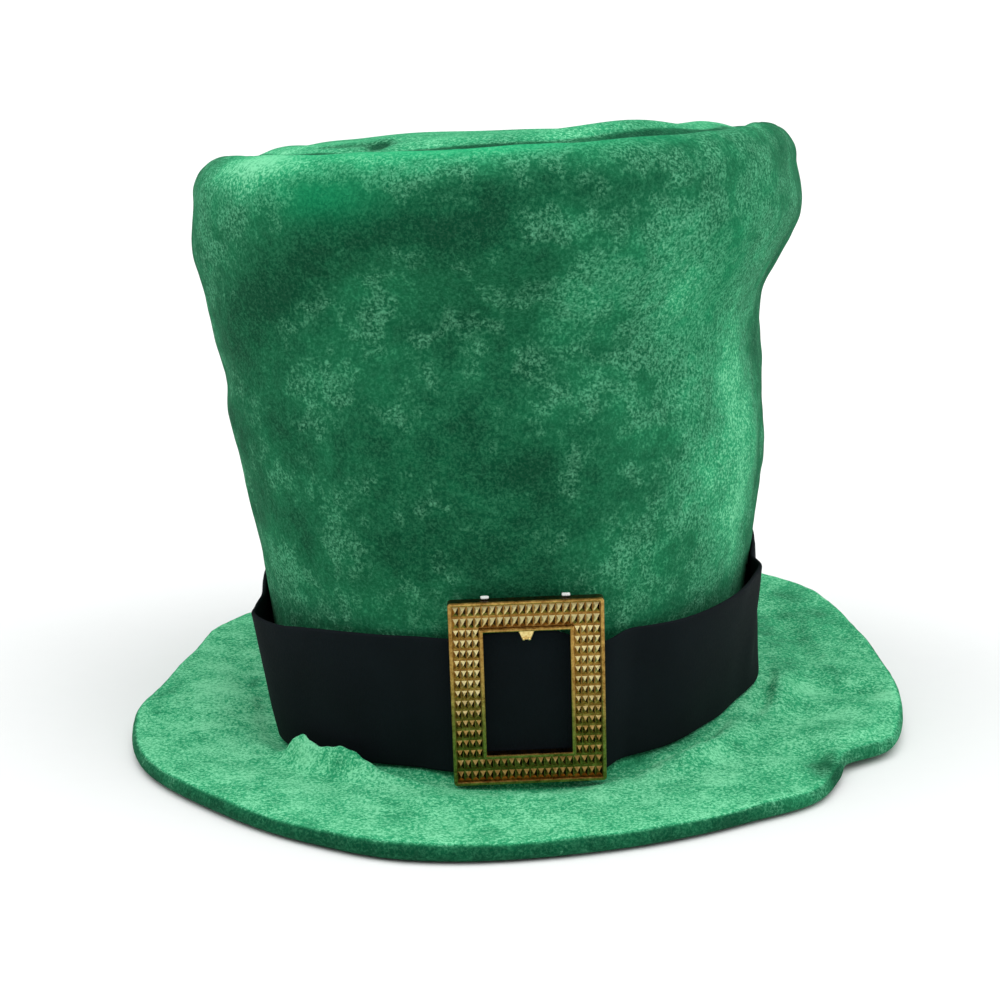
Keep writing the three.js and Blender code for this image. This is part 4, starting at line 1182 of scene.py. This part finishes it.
class HAT_OT_buckle(HatOperator, bpy.types.Operator):
    """Builds the studded gilt buckle"""

    bl_idname = "hat.buckle"
    bl_label = "Buckle"

    def execute(self, context):
        """A profile with two rounded lips carried round a rectangle, and fields of pyramids."""
        hat = self.hat(context)
        sizes = context.scene.hat_sizes
        lip = sizes.buckle_lip
        depth = sizes.buckle_depth
        field = depth - sizes.buckle_field_depth
        soft = LIP_ROUNDING
        nodes = (
            ("outer", 0.0, 0.0, 0.0012), ("outer", 0.0, depth - soft, 0.0012),
            ("outer", 0.3 * soft, depth - 0.3 * soft, 0.0011), ("outer", soft, depth, 0.0009),
            ("outer", lip - soft, depth, 0.0004), ("outer", lip - 0.3 * soft, depth - 0.3 * soft, 0.0003),
            ("outer", lip, depth - soft, 0.0002), ("outer", lip + 0.0001, field, 0.0001),
            ("window", lip + 0.0001, field, 0.0001), ("window", lip, depth - soft, 0.0002),
            ("window", lip - 0.3 * soft, depth - 0.3 * soft, 0.0002), ("window", lip - soft, depth, 0.0002),
            ("window", soft, depth, 0.0003), ("window", 0.3 * soft, depth - 0.3 * soft, 0.0003),
            ("window", 0.0, depth - soft, 0.0003), ("window", 0.0, 0.0, 0.0003),
        )
        rings = frame_loop(sizes, nodes)
        rows, columns = rings.shape[:2]
        frame_faces = grid_faces(rows, columns, True)
        heights = rings[..., 2].ravel()[frame_faces].mean(-1)
        # Painted reflection: the lips are lightest, the field less so, and the sides are dark.
        tone = np.where(heights > field - 0.0001, FIELD_TONE, SIDE_TONE)
        tone = np.where(heights > field + 0.0004, LIP_TONE, tone)
        blocks = [(rings.reshape(-1, 3), [frame_faces], [tone])]
        side_x = (sizes.buckle_width - sizes.buckle_side_rail) / 2
        end_y = (sizes.buckle_height - sizes.buckle_end_rail) / 2
        window_height = sizes.buckle_height - 2 * sizes.buckle_end_rail
        side_field = sizes.buckle_side_rail - 2 * lip
        end_field = sizes.buckle_end_rail - 2 * lip
        for x, y, width, height in (
            (-side_x, 0.0, side_field, window_height + 2 * lip),
            (side_x, 0.0, side_field, window_height + 2 * lip),
            (0.0, end_y, sizes.buckle_width - 2 * lip, end_field),
            (0.0, -end_y, sizes.buckle_width - 2 * lip, end_field),
        ):
            blocks.append(pyramid_field(sizes, x, y, width, height))
        blocks.append(self.stub(sizes, window_height / 2))
        start = 0
        vertices, faces, plating = [], [], []
        for points, parts, tones in blocks:
            faces.extend(part + start for part in parts)
            plating.extend(tones)
            vertices.append(points)
            start += len(points)
        placed = np.concatenate(vertices) @ hat.buckle_axes() + hat.buckle_origin
        piece = mesh_object(
            "buckle_gilt", placed, faces, flat=True, attributes=(("plating", np.concatenate(plating)),))
        return self.finish_piece(piece, gilt_material(context.scene.hat_colours), "gilt", ["buckle"])

    def stub(self, sizes, top):
        """A tapered tab under the window's upper lip, with two small bumps at its end."""
        wide, reach = sizes.stub_width / 2, sizes.stub_length
        low = (sizes.buckle_depth - sizes.stub_thickness) / 2
        high = low + sizes.stub_thickness
        outline = np.array(((-wide, top + 0.0003), (-wide / 2, top - reach), (wide / 2, top - reach),
                            (wide, top + 0.0003)))
        layers = []
        for height, taper in ((low, 1.0), (high - 0.0003, 1.0), (high, 0.88)):
            centre = outline.mean(0)
            ring = centre + (outline - centre) * taper
            layers.append(np.column_stack((ring, np.full(4, height))))
        tab = np.concatenate(layers)
        walls = grid_faces(3, 4, False)
        ends = np.array(((0, 3, 2, 1), (8, 9, 10, 11)))
        turn = np.arange(10)[None, :] * (2 * np.pi / 10)
        rise = np.linspace(-np.pi / 2, np.pi / 2, 7)[:, None]
        ball = np.stack(np.broadcast_arrays(
            np.cos(rise) * np.cos(turn), np.cos(rise) * np.sin(turn), np.sin(rise)), axis=-1)
        bump, bump_faces = capped(ball * 0.0006)
        vertices, faces, start = [tab], [walls, ends], len(tab)
        for side in (-1, 1):
            vertices.append(bump + (side * wide * 0.32, top - reach + 0.0004, high))
            faces.extend(part + start for part in bump_faces)
            start += len(bump)
        return np.concatenate(vertices), faces, [np.full(len(part), 0.75) for part in faces]


class HAT_OT_fasteners(HatOperator, bpy.types.Operator):
    """Builds the two white fasteners over the buckle"""

    bl_idname = "hat.fasteners"
    bl_label = "Fasteners"

    def execute(self, context):
        """Superellipsoids: powers of the sines and cosines of two angles make rounded blocks."""
        hat = self.hat(context)
        sizes = context.scene.hat_sizes
        turn = np.arange(32)[None, :] * (2 * np.pi / 32)
        rise = np.linspace(-np.pi / 2, np.pi / 2, 17)[:, None]
        power = 0.45
        across, level = [np.sign(part) * np.abs(part) ** power for part in (np.cos(turn), np.sin(turn))]
        ring, out = [np.sign(part) * np.abs(part) ** power for part in (np.cos(rise), np.sin(rise))]
        size = np.array((sizes.fastener_width, sizes.fastener_height, sizes.fastener_depth)) / 2
        block = np.stack(np.broadcast_arrays(ring * across, ring * level, out), axis=-1) * size
        vertices, faces = capped(block)
        up = (sizes.buckle_height + sizes.fastener_height) / 2 + sizes.gap
        nylon = nylon_material(context.scene.hat_colours)
        for name, side in (("left", -1), ("right", 1)):
            centre = np.array((side * sizes.fastener_spacing / 2, up, sizes.fastener_depth / 2))
            placed = (vertices + centre) @ hat.buckle_axes() + hat.buckle_origin
            piece = mesh_object(f"fastener_{name}_nylon", placed, faces)
            self.finish_piece(piece, nylon, "white_nylon", [f"fastener_{name}"])
        return {"FINISHED"}


# Softboxes: name, where the light comes from, its spread in degrees, and strength.
SOFTBOXES = (
    ("Top softbox", (0.05, -0.10, 1.00), 80.0, 2.5),
    ("Right softbox", (1.00, -0.40, 0.60), 60.0, 0.9),
    ("Left softbox", (-1.00, -0.20, 0.80), 60.0, 0.8),
)
# Where the photograph's camera stands and what it is turned to.
CAMERA_PLACE = (-0.0083, -0.8471, 0.2750)
CAMERA_AIM = (-0.0083, 0.0029, 0.0787)
# The floor reaches past the picture, and lies just below the brim so that the two never meet.
FLOOR_RADIUS = 40.0
FLOOR_HEIGHT = -0.0005


class HAT_OT_studio(HatOperator, bpy.types.Operator):
    """Sets the pale floor, the soft lights and the camera"""

    bl_idname = "hat.studio"
    bl_label = "Studio"

    def execute(self, context):
        """A wide floor, a world that is brighter overhead, softboxes, and the photograph's view."""
        scene = context.scene
        scene.view_settings.view_transform = "Standard"
        scene.view_settings.look = "None"
        self.floor(scene)
        self.world(scene)
        for name, place, spread, strength in SOFTBOXES:
            self.sky(scene, name, place, spread, strength)
        self.camera(scene)
        return {"FINISHED"}

    def floor(self, scene):
        turn = np.arange(96) * (2 * np.pi / 96)
        height = np.full(96, FLOOR_HEIGHT)
        rim = np.stack((FLOOR_RADIUS * np.cos(turn), FLOOR_RADIUS * np.sin(turn), height), axis=-1)
        column = np.arange(96)
        faces = np.stack((np.full(96, 96), column, (column + 1) % 96), axis=-1)
        floor = mesh_object("floor", np.concatenate((rim, ((0.0, 0.0, FLOOR_HEIGHT),))), faces)
        paper = Material("Pale paper", {"Roughness": 0.9, "Specular IOR Level": 0.1})
        fleck = paper.noise(paper.place(), 0.01, 2.0)
        colour_now = scene.hat_colours.floor
        shade = [0.985 * part for part in colour_now]
        paper.feed("Base Color", paper.mixed(fleck, rgba(shade), rgba(colour_now)))
        floor.data.materials.append(paper.block)

    def world(self, scene):
        world = bpy.data.worlds.new("Studio air")
        world.use_nodes = True
        tree = world.node_tree
        tree.nodes.clear()
        output = tree.nodes.new("ShaderNodeOutputWorld")
        glow = tree.nodes.new("ShaderNodeBackground")
        ramp = tree.nodes.new("ShaderNodeValToRGB")
        split = tree.nodes.new("ShaderNodeSeparateXYZ")
        place = tree.nodes.new("ShaderNodeTexCoord")
        stops = ramp.color_ramp.elements
        stops[0].position, stops[0].color = 0.0, (0.30, 0.31, 0.31, 1.0)
        stops[1].position, stops[1].color = 1.0, (1.0, 1.0, 1.0, 1.0)
        tree.links.new(place.outputs["Generated"], split.inputs[0])
        tree.links.new(split.outputs["Z"], ramp.inputs["Fac"])
        tree.links.new(ramp.outputs["Color"], glow.inputs["Color"])
        tree.links.new(glow.outputs[0], output.inputs["Surface"])
        glow.inputs["Strength"].default_value = 0.55
        scene.world = world

    def sky(self, scene, name, place, spread, strength):
        """A far softbox: parallel light from a place, spread over degrees."""
        light = bpy.data.lights.new(name, "SUN")
        light.angle = math.radians(spread)
        light.energy = strength
        box = bpy.data.objects.new(name, light)
        scene.collection.objects.link(box)
        box.location = place
        box.rotation_euler = direction_turn(-np.array(place))

    def camera(self, scene):
        lens = bpy.data.cameras.new("Camera")
        lens.sensor_width = 36.0
        lens.lens = 82.58
        lens.clip_start = 0.05
        lens.clip_end = 100.0
        camera = bpy.data.objects.new("Camera", lens)
        scene.collection.objects.link(camera)
        camera.location = CAMERA_PLACE
        camera.rotation_euler = direction_turn(np.array(CAMERA_AIM) - CAMERA_PLACE)
        scene.camera = camera


def direction_turn(aim):
    """Euler angles that point an object's -Z along a direction, with its Y upwards."""
    x, y, z = aim
    flat = math.hypot(x, y)
    return (math.atan2(flat, -z), 0.0, math.atan2(-x, y))


PIECES = (
    HAT_OT_crown_wall,
    HAT_OT_crown_tip,
    HAT_OT_brim,
    HAT_OT_band,
    HAT_OT_buckle,
    HAT_OT_fasteners,
    HAT_OT_studio,
)


class HAT_PT_build(bpy.types.Panel):
    """The hat's pieces, in the order that they are built"""

    bl_label = "Leprechaun Hat"
    bl_idname = "HAT_PT_build"
    bl_space_type = "VIEW_3D"
    bl_region_type = "UI"
    bl_category = "Hat"

    def draw(self, context):
        for operator in PIECES:
            self.layout.operator(operator.bl_idname)
        for group in (context.scene.hat_sizes, context.scene.hat_finish, context.scene.hat_colours):
            column = self.layout.column()
            for name in group.bl_rna.properties.keys():
                if name not in ("rna_type", "name"):
                    column.prop(group, name)


GROUPS = (HatSizes, HatFinish, HatColours)


def register():
    for block in (*GROUPS, *PIECES, HAT_PT_build):
        bpy.utils.register_class(block)
    bpy.types.Scene.hat_sizes = bpy.props.PointerProperty(type=HatSizes)
    bpy.types.Scene.hat_finish = bpy.props.PointerProperty(type=HatFinish)
    bpy.types.Scene.hat_colours = bpy.props.PointerProperty(type=HatColours)


def unregister():
    del bpy.types.Scene.hat_sizes
    del bpy.types.Scene.hat_finish
    del bpy.types.Scene.hat_colours
    for block in reversed((*GROUPS, *PIECES, HAT_PT_build)):
        bpy.utils.unregister_class(block)


def main():
    register()
    for operator in PIECES:
        group, name = operator.bl_idname.split(".")
        getattr(getattr(bpy.ops, group), name)()


if __name__ == "__main__":
    main()
